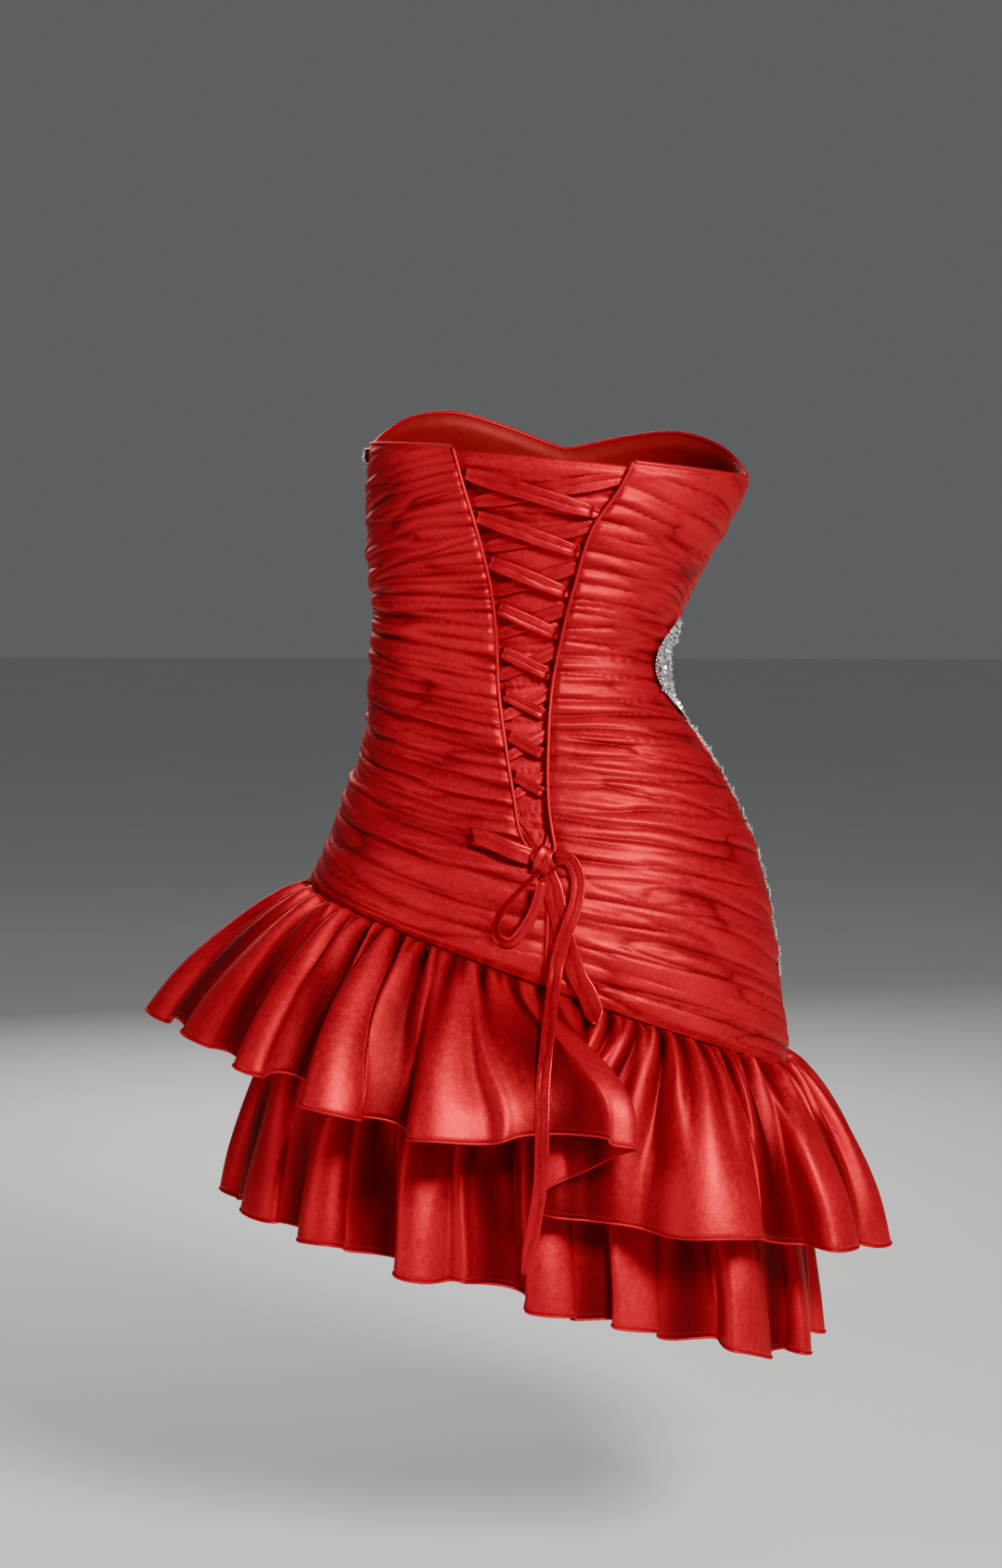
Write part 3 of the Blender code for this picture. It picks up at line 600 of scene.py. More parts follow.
frontCreases = [
    (0, 0.5, 38, 0.03, 6, 2, 2), (0.46, 1, 50, -0.06, 5, 2, 2), (0, 0.44, 24, 0.08, 5, 2.5, 2.2),
    (0.52, 1, 38, -0.1, 5, 2.5, 2.2), (0.06, 0.48, 12, 0.1, 3, 1.9, 1.8), (0.5, 0.94, 26, -0.12, 3, 1.9, 1.8),
    (0, 0.52, 3, 0.06, 3, 2.6, 2.2), (0.48, 1, 13, -0.05, 3, 2.6, 2.2), (0, 0.4, -9, 0.04, 2, 1.9, 1.9),
    (0.56, 1, 2, -0.05, 2, 1.9, 1.9), (0, 1, -20, 0.01, -3, 2.7, 2.2), (0, 0.36, -30, 0.02, 0, 1.8, 1.7),
    (0.6, 1, -30, 0, 0, 2, 1.8), (0.14, 0.84, -34, 0, -4, 2.2, 2.1), (0, 0.72, -42, 0.01, -4, 2.5, 2.1),
    (0.34, 1, -49, 0.01, -3, 2.1, 2), (0, 0.46, -54, -0.01, -2, 1.9, 1.8), (0, 1, -63, 0, -5, 2.7, 2.2),
    (0.5, 1, -72, 0.01, -2, 1.9, 1.8), (0, 0.6, -75, 0, -3, 2.3, 1.9), (0.22, 1, -84, 0.01, -4, 2.4, 2.1),
    (0, 0.42, -90, 0.02, -1, 1.8, 1.7), (0, 0.92, -99, 0.02, -4, 2.6, 2.1),
    (0.56, 1, -104, 0.04, 0, 1.8, 1.8), (0, 0.54, -113, 0.04, -1, 2, 1.8),
    (0.16, 1, -121, 0.05, -2, 2.4, 2.1), (0, 0.76, -131, 0.07, 0, 2.4, 2), (0.48, 1, -130, 0.08, 1, 1.9, 1.8),
    (0, 1, -147, 0.1, 1, 2.6, 2.2), (0, 0.44, -160, 0.1, 1, 1.9, 1.8), (0.36, 1, -153, 0.1, 1, 2.1, 2),
    (0, 0.86, -174, 0.13, 2, 2.5, 2.1), (0.54, 1, -163, 0.13, 1, 1.9, 1.8),
    (0, 0.58, -190, 0.15, 2, 2.1, 1.9), (0.18, 1, -199, 0.16, 2, 2.4, 2.2), (0, 0.7, -212, 0.18, 2, 2.2, 2),
    (0.44, 1, -208, 0.18, 1, 1.9, 1.9), (0, 0.9, -231, 0.2, 2, 2.4, 2.2), (0, 0.5, -246, 0.22, 1, 1.9, 1.8),
    (0.3, 1, -243, 0.22, 2, 2.1, 2.1), (0, 0.78, -265, 0.24, 2, 2.2, 2.1), (0.5, 1, -250, 0.22, 1, 1.8, 1.9),
    (0.1, 1, -285, 0.27, 2, 2.1, 2.2), (0, 0.6, -303, 0.28, 1, 1.9, 2.1), (0.36, 1, -296, 0.28, 1, 1.9, 2.1),
    (0, 0.85, -325, 0.31, 1, 1.8, 2.3), (0, 0.5, -346, 0.33, 0, 1.6, 2.2),
    (0.3, 0.96, -340, 0.33, 0, 1.5, 2.4),
]
panels = {
    "front_panel": {"seed": 3, "columns": 132, "rows": 240, "creases": frontCreases},
    "back_left_panel": {"seed": 11, "columns": 84, "rows": 290, "creases": leftCreases},
    "back_right_panel": {"seed": 23, "columns": 84, "rows": 290, "creases": rightCreases},
}


def creaseField(share, width, height, creases):
    # Depth of the creases in millimetres, and the painted shade in each place of them.
    gone, deep, shade = share * width, 0.0 * share, 0.0 * share
    for first, last, start, slope, rise, depth, wide in creases:
        along = np.clip((share - first) / (last - first), 0, 1)
        line = start + slope * (gone - first * width) + rise * np.sin(np.pi * along)
        line = line + creasing["wander"] * patches(gone / creasing["wanderLong"], start / 7.0 + 0 * gone, 61)
        off = (height - line) / wide
        begun = 1.0 if first == 0 else ease(along * 4)
        left = 1.0 if last == 1 else ease((1 - along) * 2.2)
        uneven = 0.9 + 0.6 * patches(gone / creasing["unevenLong"], start / 5.0 + 0 * gone, 63)
        window = begun * left * np.clip(uneven, 0.15, 1.3) * (share >= first) * (share <= last)
        valley = np.exp(-np.sqrt((off * 1.35) ** 2 + 0.03))
        lip = creasing["lip"] * bell(off - creasing["lipAt"], creasing["lipWide"])
        deep = deep + depth * window * (valley - lip)
        shade = np.maximum(shade, window * bell(height - line + 0.3, 0.45 * wide))
    return deep, shade


def foldSlope(creases, height):
    # How the folds near each height slope, from the creases about them.
    starts, slopes = np.array([row[2] for row in creases]), np.array([row[3] for row in creases])
    near = bell(height[..., None] - starts, 17)
    return (near * slopes).sum(-1) / (near.sum(-1) + 1e-9)


def slits(gone, level, size, seed):
    # Puffs of cloth between thin lines that run along the folds, meet and part again.
    long, tall, sharp = size
    wander = 0.4 * patches(gone / (0.7 * long), level / (3 * tall), seed + 1)
    uneven = np.abs(patches(gone / long, level / tall + wander, seed))
    return np.sqrt(uneven), np.exp(-uneven / sharp)


def ruchedOut(share, width, height, creases, seed):
    # How far ruched cloth stands out in millimetres, and painted shade in its creases, slits and pinches.
    gone = share * width
    deep, shade = creaseField(share, width, height, creases)
    level = height - foldSlope(creases, height) * gone
    broad = patches(gone / 58, level / 12, seed)
    puff, slit = slits(gone, level, panelCloth["slitSize"], seed + 2)
    smallPuff, smallSlit = slits(gone, level, panelCloth["smallSlitSize"], seed + 5)
    slit = slit * ease(0.7 + 0.9 * patches(gone / 48, level / 12, seed + 8))
    smallBroken = ease(0.4 + 0.9 * patches(gone / 36, level / 9, seed + 9))
    smallSlit = smallSlit * smallBroken
    nearEdge = np.maximum(1 - gone / 20, 1 - (width - gone) / 20).clip(0, 1)
    pinch = np.abs(patches(gone / 30, level / 4.3, seed + 3)) * nearEdge
    out = panelCloth["base"] + panelCloth["swell"] * broad + panelCloth["puff"] * (puff - 0.6)
    out = out + panelCloth["fine"] * smallPuff * smallBroken - panelCloth["sunken"] * deep
    out = out - panelCloth["slit"] * slit - panelCloth["smallSlit"] * smallSlit - panelCloth["pinch"] * pinch
    # Painted shade for the creases, slits and pinches
    paintedShade = np.clip(0.8 * shade + 0.7 * slit + 0.45 * smallSlit + 0.4 * pinch, 0, 1)
    return np.clip(out, panelCloth["lowest"], panelCloth["highest"]), paintedShade


def clothWidth(points):
    return steps(points, 1).sum(1)[:, None] / mm


def panelPlaces(name, across, down):
    gap = halfGap(seams["bustRadius"])
    if name == "front_panel":
        first, last = gap - 90, 90 - gap
    elif name == "back_left_panel":
        first, last = 90 + gap, placketAngle(down, "left")
    else:
        first, last = placketAngle(down, "right"), 270 - gap
    angle = first + (last - first) * across
    return angle, panelHeight(angle, down)


def buildPanel(name):
    choice = panels[name]
    across, down = gridShares(choice["columns"], choice["rows"])
    angle, height = panelPlaces(name, across, down)
    share = 1 - across if name == "back_left_panel" else across
    width = clothWidth(onBody(angle, height))
    out, shade = ruchedOut(share, width, height, choice["creases"], choice["seed"])
    edge = inFromEnds(down, 45) * inFromEnds(across, 42)
    points = onBody(angle, height, out * (0.15 + 0.85 * edge))
    sewnCloth(name, points, bodySatin, panelCloth["wall"], shade)


lining = {
    "columns": 72, "rows": 30, "wall": 0.4, "inside": 1.5,
    "boneEvery": 22.5, "boneWide": 2.2, "boneDeep": 0.45,
}


def buildLining(name):
    # The smooth lining inside each panel, with stitched channels for its bones.
    across, down = gridShares(lining["columns"], lining["rows"])
    angle, height = panelPlaces(name, across, down)
    every = lining["boneEvery"]
    offBone = (angle / every - np.round(angle / every)) * every
    bones = lining["boneDeep"] * bell(offBone, lining["boneWide"]) * inFromEnds(down, 12)
    points = onBody(angle, height, -lining["inside"] - bones)
    place(clothSheet(name + "_lining", points, liningSatin, lining["wall"]))


for name in panels:
    buildPanel(name)
for name in panels:
    buildLining(name)
print("panels ruched")

# The panel behind the lacing: how deep it lies at its margins, behind the lacing's edge and between
modesty = {
    "margin": 26, "sewn": 2.8, "behindLace": 5.9, "deep": 8.0, "start": 0.008, "end": 0.80, "wall": 0.8,
    "band": 13, "bandOut": 1.9, "columns": 54, "rows": 160,
}


def modestySurface(across, down, extra):
    down = modesty["start"] + (modesty["end"] - modesty["start"]) * down
    left, right = placketAngle(down, "left"), placketAngle(down, "right")
    level = neck["backHeight"] * (1 - down) + seams["upperHeight"] * down
    margin = np.degrees(modesty["margin"] / curveThrough(bodyOutline, 2, level))
    between = [left + (right - left) * k / 4 for k in (1, 2, 3)]
    outer = [left - margin, left - 0.55 * margin, left]
    turns = np.stack(outer + between + [right, right + 0.55 * margin, right + margin])
    sides = [modesty["sewn"], modesty["behindLace"]]
    depths = np.array(sides + [modesty["deep"]] * 5 + sides[::-1])
    at = across * 8
    i = np.clip(np.floor(at).astype(int), 0, 7)
    share = at - i
    before, after = (np.take_along_axis(turns, i[None] + k, 0)[0] for k in (0, 1))
    angle = before * (1 - share) + after * share
    deep = depths[i] * (1 - share) + depths[i + 1] * share
    height = panelHeight(angle, down)
    return onBody(angle, height, extra - deep), height


modestyCreases = [
    (0.12, 0.95, 24, -0.05, -2, 2, 1.8), (0, 0.8, 14, 0.03, -2, 1.8, 1.7), (0.1, 1, 5, -0.1, 1, 2, 1.8),
    (0, 0.9, -6, 0.06, -2, 1.8, 1.7), (0.2, 1, -17, -0.08, 1, 2, 1.8), (0, 0.7, -28, 0.1, -1, 1.9, 1.8),
    (0.1, 1, -42, -0.1, 1, 2, 1.9), (0, 0.9, -56, 0.08, -1, 1.9, 1.8), (0.2, 1, -70, -0.08, 1, 2, 1.8),
    (0, 0.8, -86, 0.08, -1, 1.8, 1.8), (0, 1, -104, -0.06, 1, 2, 1.8), (0, 1, -124, 0.06, -1, 1.8, 1.8),
    (0, 1, -146, -0.05, 1, 1.8, 1.8), (0, 1, -170, 0.05, 1, 1.8, 1.8), (0, 1, -196, 0, 1, 1.6, 1.8),
]


def buildModesty():
    across, down = gridShares(modesty["columns"], modesty["rows"])
    flat, height = modestySurface(across, down, 0.0)
    out, shade = ruchedOut(across, clothWidth(flat), height, modestyCreases, 41)
    bandEdge = neck["backHeight"] + neck["tilt"] * flat[..., 0] / mm - modesty["band"]
    below = ease((bandEdge - height) / 3)
    out = (out - 1.2) * 0.75 * below + modesty["bandOut"] * (1 - below) * ease(down * 60)
    edge = ease(np.minimum(down * 3, 1 - down) * 20) * inFromEnds(across, 6)
    points = modestySurface(across, down, out * edge)[0]
    sewnCloth("modesty_panel", points, bodySatin, modesty["wall"], shade * below)


buildModesty()

# Ruffles. Rows of sides: turn round the body, length, slope from level at the seam and at the hem
tiers = {
    "upper": {
        "waves": 24, "slow": 0.40, "pleats": 60, "droop": 0.05, "pinch": 5.6, "gather": 3.0, "split": 9.5,
        "depth": 18, "sway": 7.0, "seam": upperSeam, "columns": 480, "rows": 46,
        "sides": np.array([(-90, 146, 28, 83), (0, 144, 32, 78), (90, 142, 8, 56)], float),
    },
    "lower": {
        "waves": 18, "slow": 0.25, "pleats": 52, "droop": 0.05, "pinch": 4.0, "gather": 2.2, "split": 7.0,
        "depth": 15, "sway": 5.5, "seam": lowerSeam, "columns": 400, "rows": 42,
        "sides": np.array([(-90, 142, 70, 90), (0, 142, 62, 86), (90, 142, 52, 83)], float),
    },
}
ruffleCloth = {
    "wall": 0.8, "hemRadius": 1.0, "rowSpread": 1.15, "wander": 0.55, "unevenDepth": 0.16, "unevenSway": 0.6,
    "split": 3.4, "streak": 0.5, "unevenHem": 3.5,
}
hemFold = {
    "angle": 190, "half": 9, "overlap": 104, "stepOut": 30, "lift": 27, "raise": 20, "smallFolds": 5.5,
    "tailAngle": 184, "tailWidth": 12, "underTail": 5.6, "broad": 0.62, "broadAngle": 119, "broadWidth": 17,
}


def tierProfile(tier, angle, down):
    turn = 90 * np.sin(np.radians(angle))
    length, first, last = (curveThrough(tier["sides"], k, turn) for k in (1, 2, 3))
    out, fall, count = 0.0, 0.0, 12
    for i in range(count):
        slope = np.radians(first + (last - first) * ((i + 0.5) / count * down) ** 0.6)
        out = out + np.cos(slope) * length * down / count
        fall = fall + np.sin(slope) * length * down / count
    return out, fall, np.radians(first + (last - first) * down**0.6)


def tierWave(tier, angle):
    turn = np.radians(angle)
    slowed = tier["slow"] * tier["waves"] * np.clip(turn - 3.49, 0, 1.1)
    uneven = 0.6 * np.cos(3 * turn) + 0.45 * np.sin(6 * turn) + 0.4 * np.cos(7 * turn)
    return tier["waves"] * turn - slowed + uneven


def centreBackFold(angle, down):
    spot = turned(angle - hemFold["angle"]) / hemFold["half"]
    pull = spot * np.exp(-(spot**2) / 2) * ease(down * 1.15)
    lift = -hemFold["lift"] * pull + hemFold["raise"] * bell(spot, 1.6) * down
    calm = bell(spot, np.where(spot > 0, 1.5, 1.1))
    return -hemFold["overlap"] * pull, -hemFold["stepOut"] * pull, lift, calm


def lobes(phase, sharp):
    # Rounded puffs with narrow slits between them, from -1 to 1.
    return 2 * np.sqrt((np.cos(phase / 2) ** 2 + sharp) / (1 + sharp)) - 1


def sideCalm(angle, width, depth=1.0):
    return 1 - depth * bell(np.cos(np.radians(angle)), width)


def wandering(angle, down):
    return patches(angle / 9, down * 2.2, 7)


def tierFolds(tier, angle, down):
    # Flutes, small folds and gathers of a ruffle, and the painted shade in the valleys between them.
    def uneven(wide, seed):
        return patches(angle / wide, 0 * down, seed)

    turn, atSide, wander = np.radians(angle), sideCalm(angle, 0.13, 0.85), wandering(angle, down)
    phase = tierWave(tier, angle) + ruffleCloth["wander"] * wander * down * sideCalm(angle, 0.2)
    depth = tier["depth"] * (0.8 + 0.25 * np.sin(5 * turn + 1.1)) * down**0.9 * atSide
    depth = depth * (1 + ruffleCloth["unevenDepth"] * uneven(12, 9))
    sway = tier["sway"] * (1 + ruffleCloth["unevenSway"] * uneven(15, 13)) * down**0.8 * atSide
    hemShare = 0.45 + 0.55 * ease(0.5 + uneven(11, 21))
    between = lobes(2 * phase + 0.9 + patches(angle / 9, down * 1.3, 15), 0.06)
    fine = lobes(tier["pleats"] * turn + 2.4 * uneven(10, 5) + 0.9 * wander * ease(down * 2), 0.02)
    pinched = lobes(1.6 * tier["pleats"] * turn + 3.0 * uneven(6, 29), 0.02)
    small = ruffleCloth["split"] * ease(down * 6) * (1 - ease(down * 1.4))
    small = (small + tier["split"] * hemShare * ease(down * 1.2)) * between
    small = small + tier["pinch"] * ease(down * 16) * (1 - ease(down * (1.35 + 0.5 * uneven(6, 19)))) * fine
    gathered = ease(down * 30) * (1 - ease(down * (4.2 + 1.8 * uneven(3, 31))))
    small = small + tier["gather"] * gathered * pinched
    streak = patches(angle / 1.5, down * 3, 17) * ease(down * 5) * (1 - 0.5 * down)
    small = (small + ruffleCloth["streak"] * streak) * atSide
    below = ease(down * 1.6)
    # Painted shade in the valleys between flutes, small folds and gathers
    troughShade = (bell(lobes(phase, 0.03) + 1, 0.95) + 0.7 * bell(between + 1, 0.7) * hemShare) * below
    troughShade = troughShade + bell(fine + 1, 1.1) * (1 - below) * ease(1.6 - down * 1.6)
    troughShade = troughShade + 0.8 * bell(pinched + 1, 0.9) * (1 - ease(down * 4.5))
    return phase, depth, sway, small, troughShade


def tierPoints(tier, angle, down, folded):
    out, fall, slope = tierProfile(tier, angle, down)
    phase, depth, sway, small, troughShade = tierFolds(tier, angle, down)
    along, stepOut, lift, underTail = 0.0, 0.0, 0.0, 0.0
    level = depth * np.cos(phase)
    if folded:
        along, stepOut, lift, calm = centreBackFold(angle, down)
        underTail = bell(angle - hemFold["tailAngle"], hemFold["tailWidth"])
        level = level * (1 - 0.8 * bell((angle - hemFold["angle"]) / hemFold["half"], 2.0))
        broad = hemFold["broad"] * bell(angle - hemFold["broadAngle"], hemFold["broadWidth"])
        small = small * (1 - 0.6 * calm * ease(down * 1.4)) * (1 - 0.6 * broad * ease(down * 1.5))
        where = (bell(angle - 181, 6.5) + 0.9 * bell(angle - 200, 6)) * ease(down * 1.5)
        extra = lobes(np.radians(angle - 174) * 92 + wandering(angle, down), 0.08)
        small = small + hemFold["smallFolds"] * where * extra
        small = small - underTail * np.maximum(small, 0)
        depth, sway = depth * (1 - broad) * (1 - 0.8 * calm), sway * (1 - broad) * (1 - 0.9 * calm)
    flute = depth * (0.7 * lobes(phase, 0.03) + 0.3 * np.cos(phase))
    flute = flute - underTail * (np.maximum(flute - level, 0) + hemFold["underTail"] * ease(down * 1.6))
    out = out + flute + small * np.sin(slope) + stepOut
    fall = fall - lift + tier["droop"] * depth * np.cos(phase) - small * np.cos(slope)
    unevenHem = ruffleCloth["unevenHem"] * patches(angle / 7, 0 * down, 27) * down**2
    fall = fall + unevenHem * sideCalm(angle, 0.13, 0.85)
    points = onBody(angle, tier["seam"](angle) - seams["gap"], out, along + sway * np.sin(2 * phase))
    points[..., 2] -= fall * mm
    return points, troughShade


def gridNormals(points):
    return unit(np.cross(np.gradient(points, axis=1), -np.gradient(points, axis=0)))


stitchLines = {}


def buildTier(key, half, start, folded):
    tier, node = tiers[key], f"{key}_ruffle_{half}"
    across, down = gridShares(tier["columns"], tier["rows"])
    points, troughShade = tierPoints(tier, halfHip(start, across), down ** ruffleCloth["rowSpread"], folded)
    sewnCloth(node, points, ruffleSatin, ruffleCloth["wall"], np.clip(troughShade, 0, 1))
    piping(node + "_hem", points[-1], ruffleCloth["hemRadius"], 6)
    stitchLines[node] = points[-2] + gridNormals(points)[-2] * 0.15 * mm


for key in tiers:
    buildTier(key, "front", -90, False)
    buildTier(key, "back", 90, key == "upper")
print("ruffles gathered")

underskirt = {"columns": 96, "rows": 16, "wall": 0.9, "above": 7, "inset": 3.3, "ripple": 0.25, "ripples": 30}


def buildUnderskirt(half, start):
    across, down = gridShares(underskirt["columns"], underskirt["rows"])
    angle = halfHip(start, across)
    top, bottom = upperSeam(angle) + underskirt["above"], lowerSeam(angle)
    inset = -underskirt["inset"] * (1 - ease((down - 0.7) / 0.3))
    wave = underskirt["ripple"] * np.sin(np.radians(angle) * underskirt["ripples"]) * ease(down * 3)
    points = onBody(angle, top + (bottom - top) * down, inset + wave * ease((1 - down) * 3))
    sewnCloth(f"underskirt_{half}", points, liningSatin, underskirt["wall"])


buildUnderskirt("front", -90)
buildUnderskirt("back", 90)

# Lacing
lacing = {
    "width": 11.0, "widthLow": 6.4, "neck": 4.0, "spread": 0.34, "tuck": 6.0, "turn": 2.4,
    "under": -3.8, "over": 0.0,
    "levels": {
        "left": (35, 5, -27, -59, -90, -120, -149, -177, -204),
        "right": (29, -4, -32, -61, -91, -120, -149, -177, -204),
    },
    "end": {"left": (-6.3, -237), "right": (-11.8, -237)}, "endWidth": 4.6, "endOut": 0.4,
}


def laceSpan(start, end, fullWidth, onTop):
    # Rows along one crossing: x, height, how far out, width. It is narrow where it tucks in at each end.
    acrossX, acrossZ = end[0] - start[0], end[1] - start[1]
    length = math.hypot(acrossX, acrossZ)
    ends = [0, 4, lacing["tuck"] + 3.8, lacing["tuck"] + 6.8]
    count = max(2, math.ceil((length - 2 * ends[-1]) / 18))
    middle = [ends[-1] + (length - 2 * ends[-1]) * k / count for k in range(1, count)]
    rows = []
    for gone in ends + middle + [length - e for e in reversed(ends)]:
        nearest = min(gone, length - gone)
        width = min(fullWidth, lacing["neck"] + lacing["spread"] * nearest)
        rise = float(ease((nearest - lacing["tuck"] - 3.8) / 3)) if onTop else 0
        out = lacing["under"] + (lacing["over"] - lacing["under"]) * rise
        t = gone / length
        rows.append((start[0] + acrossX * t, start[1] + acrossZ * t, out, width))
    return rows


def laceRoute(firstSide):
    rows, side, levels = [], firstSide, lacing["levels"]
    tuck = {"left": lacing["tuck"], "right": -lacing["tuck"]}
    edge = {"left": 1, "right": 2}
    spans = len(levels["left"]) - 1
    for i in range(spans):
        other = "right" if side == "left" else "left"
        high, low = levels[side][i], levels[other][i + 1]
        start = float(curveThrough(placketEdges, edge[side], high)) + tuck[side], high - lacing["turn"]
        end = float(curveThrough(placketEdges, edge[other], low)) + tuck[other], low + lacing["turn"]
        fullWidth = lacing["width"] + (lacing["widthLow"] - lacing["width"]) * i / spans
        rows += laceSpan(start, end, fullWidth, side == "left")
        rows.append((end[0] + 0.35 * tuck[other], low, lacing["under"], lacing["neck"]))
        side = other
    last = levels[side][-1]
    start = float(curveThrough(placketEdges, edge[side], last)) + tuck[side], last - lacing["turn"]
    for t in (0, 0.3, 0.55, 0.8, 1):
        x, height = (a + (b - a) * t for a, b in zip(start, lacing["end"][side]))
        out = lacing["under"] + (lacing["endOut"] - lacing["under"]) * float(ease((t - 0.5) * 2))
        rows.append((x, height, out, lacing["neck"] + (lacing["endWidth"] - lacing["neck"]) * t))
    return rows


ribbonCloth = {"wall": 0.5, "sections": 10, "foldWander": 0.12, "foldWidth": 0.07}


def ribbonSheet(name, path, facing, widths, fold, wave, seed):
    # A flat ribbon with a soft fold line along it. Path in metres, facing its outer side.
    ahead = np.gradient(path, axis=0)
    side = unit(np.cross(ahead, facing))
    up = unit(np.cross(side, ahead))
    share = np.linspace(-0.5, 0.5, ribbonCloth["sections"] + 1)[None]
    gone = np.concatenate([[0], np.cumsum(steps(path))])[:, None] / mm
    line = ribbonCloth["foldWander"] * patches(gone / 22, 0 * gone, seed)
    creased = np.exp(-np.abs(share - line) / ribbonCloth["foldWidth"])
    rise = wave * patches(gone / 14 + 0 * share, share * 3 + 7, seed + 1) - fold * creased
    points = path[:, None] - side[:, None] * (share * np.asarray(widths)[:, None] * mm)[..., None]
    points = points + up[:, None] * (rise * mm)[..., None]
    # The fold line is also darkened with painted shade
    return clothSheet(name, points, ribbonSatin, ribbonCloth["wall"], 0.6 * creased)


def sewnRibbon(node, *choices):
    return place(ribbonSheet(node + "_ribbon", *choices), [node])


def buildLace(node, firstSide, seed):
    x, height, out, width = smoothPath(laceRoute(firstSide), 5).T
    angle = backAngle(x, height)
    nx, ny = outward(angle, height)
    sewnRibbon(node, onBody(angle, height, out), np.stack([nx, ny, 0 * nx], -1), width * 1.06, 0.6, 0.2, seed)


buildLace("lace_a", "left", 2)
buildLace("lace_b", "right", 7)
print("lacing threaded")

# Bow and its two free ends, as places in millimetres along each ribbon's middle
bow = {
    "knot": (-10, 118.3, -242), "knotSize": (14, 6.5, 15), "boxed": 0.8,
    # Wraps over the knot: lean in degrees, width, half height, how far it stands out
    "wraps": [(-38, 13, 9.6, 4.6), (22, 11, 10.2, 5.8)],
    "upperWidth": 12, "upperLoop": [(-1.7, 119.6, -240), (14, 121, -234), (29, 118.5, -228), (39, 115, -226)],
    "lowerWidth": 9,
    "lowerLoop": [
        (-6.5, 120.5, -250.6), (9, 126, -266), (19, 128, -279), (22, 129, -290), (19, 129, -297),
        (12, 129, -299), (3, 129, -290), (-6, 130, -274), (-10, 130, -256),
    ],
}
shortTail = {"width": 14, "places": [
    (-12, 118, -251.4), (-17, 120.5, -262), (-19, 122, -271), (-22, 123, -281), (-24, 123.5, -290),
    (-27, 124.5, -300), (-30, 125, -310), (-33, 125, -319), (-36, 125.5, -326), (-40, 127, -332),
    (-43, 129, -338), (-46, 133, -346), (-48, 139, -354),
]}
longTail = {"width": 10, "places": [
    (-18.4, 118.6, -241), (-25, 119.5, -240), (-30, 120.5, -243), (-34, 122, -251), (-35, 124, -261),
    (-33, 127, -273), (-29, 129.5, -285), (-25, 130.5, -297), (-22, 131, -308), (-20, 133, -317),
    (-19, 138, -326), (-18, 147, -336), (-17, 160, -347), (-16, 172, -360), (-15, 183, -374),
    (-14, 191, -390), (-14, 198, -410), (-14, 202, -432), (-13, 203, -455), (-10, 201, -475),
    (-6, 198, -497), (-1, 194, -518),
]}


def buildTail(name, choice, seed):
    path = smoothPath(choice["places"], 6) * mm
    widths = np.full(len(path), float(choice["width"]))
    widths[-6:] *= np.linspace(1, 0.3, 6)
    made = sewnRibbon(name, path, unit(np.array([0.12, 1, 0.05])), widths, 0.5, 0.3, seed)
    length = float(steps(path).sum())
    return length


def buildKnot():
    shape = bmesh.new()
    bmesh.ops.create_icosphere(shape, subdivisions=4, radius=0.5)
    centre, size = np.array(bow["knot"], float), bow["knotSize"]
    for corner in shape.verts:
        boxed = [math.copysign(abs(2 * v) ** bow["boxed"], v) for v in corner.co]
        corner.co = [(centre[k] + 0.5 * size[k] * boxed[k]) * mm for k in range(3)]
    core = carved("bow_knot_core", shape, ribbonSatin)
    core.data.shade_smooth()
    core.data.uv_layers.new(name="cloth")
    place(core, ["bow_knot"])
    for i, (turn, wide, tall, proud) in enumerate(bow["wraps"]):
        swing, lean = np.radians(np.linspace(-118, 118, 33)), math.radians(turn)
        up, front = np.sin(swing), np.cos(swing)
        leaned = -up * math.sin(lean), up * math.cos(lean)
        path = centre + np.stack([tall * leaned[0], proud * front, tall * leaned[1]], -1)
        facing = np.stack([leaned[0], front, leaned[1]], -1)
        widths = wide * (1 - 0.16 * np.abs(up))
        place(ribbonSheet(f"bow_knot_wrap_{i + 1}", path * mm, facing, widths, 0.7, 0.4, 71 + i))


def buildBow():
    buildKnot()
    out = np.array(bow["upperLoop"], float)
    path = smoothPath(np.concatenate([out, out[:-1][::-1] - [0, 4, 0]]), 8) * mm
    facing = np.cross(np.gradient(path, axis=0), unit(np.array([0.28, 0, 1])))
    sewnRibbon("bow_loop_upper", path, facing, np.full(len(path), bow["upperWidth"]), 0.5, 0.35, 31)
    path = smoothPath(bow["lowerLoop"], 8) * mm
    lean = unit(np.array([0.25, 1, 0.2]))
    facing = unit(np.cross(np.gradient(path, axis=0), lean)) + lean * 0.9
    sewnRibbon("bow_loop_lower", path, facing, np.full(len(path), bow["lowerWidth"]), 0.5, 0.3, 37)


buildBow()
tailLengths = [buildTail("lace_tail_short", shortTail, 51), buildTail("lace_tail_long", longTail, 57)]
print("bow tied, tails in metres:", tailLengths)

# Piping. Pairs: how far out its middle lies, and its radius
trim = {"placket": (0.5, 1.5), "sideSeam": (0.6, 1.3), "ruffleSeam": 0.9, "binding": (-0.5, 1.7), "drop": 0.8}


def buildTrim():
    down = np.linspace(0, 1, 160)
    for side in ("left", "right"):
        angle, (out, radius) = placketAngle(down, side), trim["placket"]
        path = onBody(angle, panelHeight(angle, down), out)
        piping(f"placket_piping_{side}", path, radius)
    for side, seamAngle in (("left", 90.0), ("right", -90.0)):
        angle, (out, radius) = seamAngle + 0 * down, trim["sideSeam"]
        piping(f"side_seam_{side}", onBody(angle, panelHeight(angle, down), out), radius)
        for key, tier in tiers.items():
            path = tierPoints(tier, angle, down, False)[0]
            piping(f"{key}_side_seam_{side}", path, trim["ruffleSeam"], 6)


def buildBinding():
    # The rolled top edge, over the ends of the satin and its lining.
    out, radius = trim["binding"]
    for name in panels:
        angle, height = panelPlaces(name, np.linspace(0, 1, 141), np.zeros(141))
        piping(name + "_binding", onBody(angle, height - trim["drop"], out), radius)


buildTrim()
buildBinding()

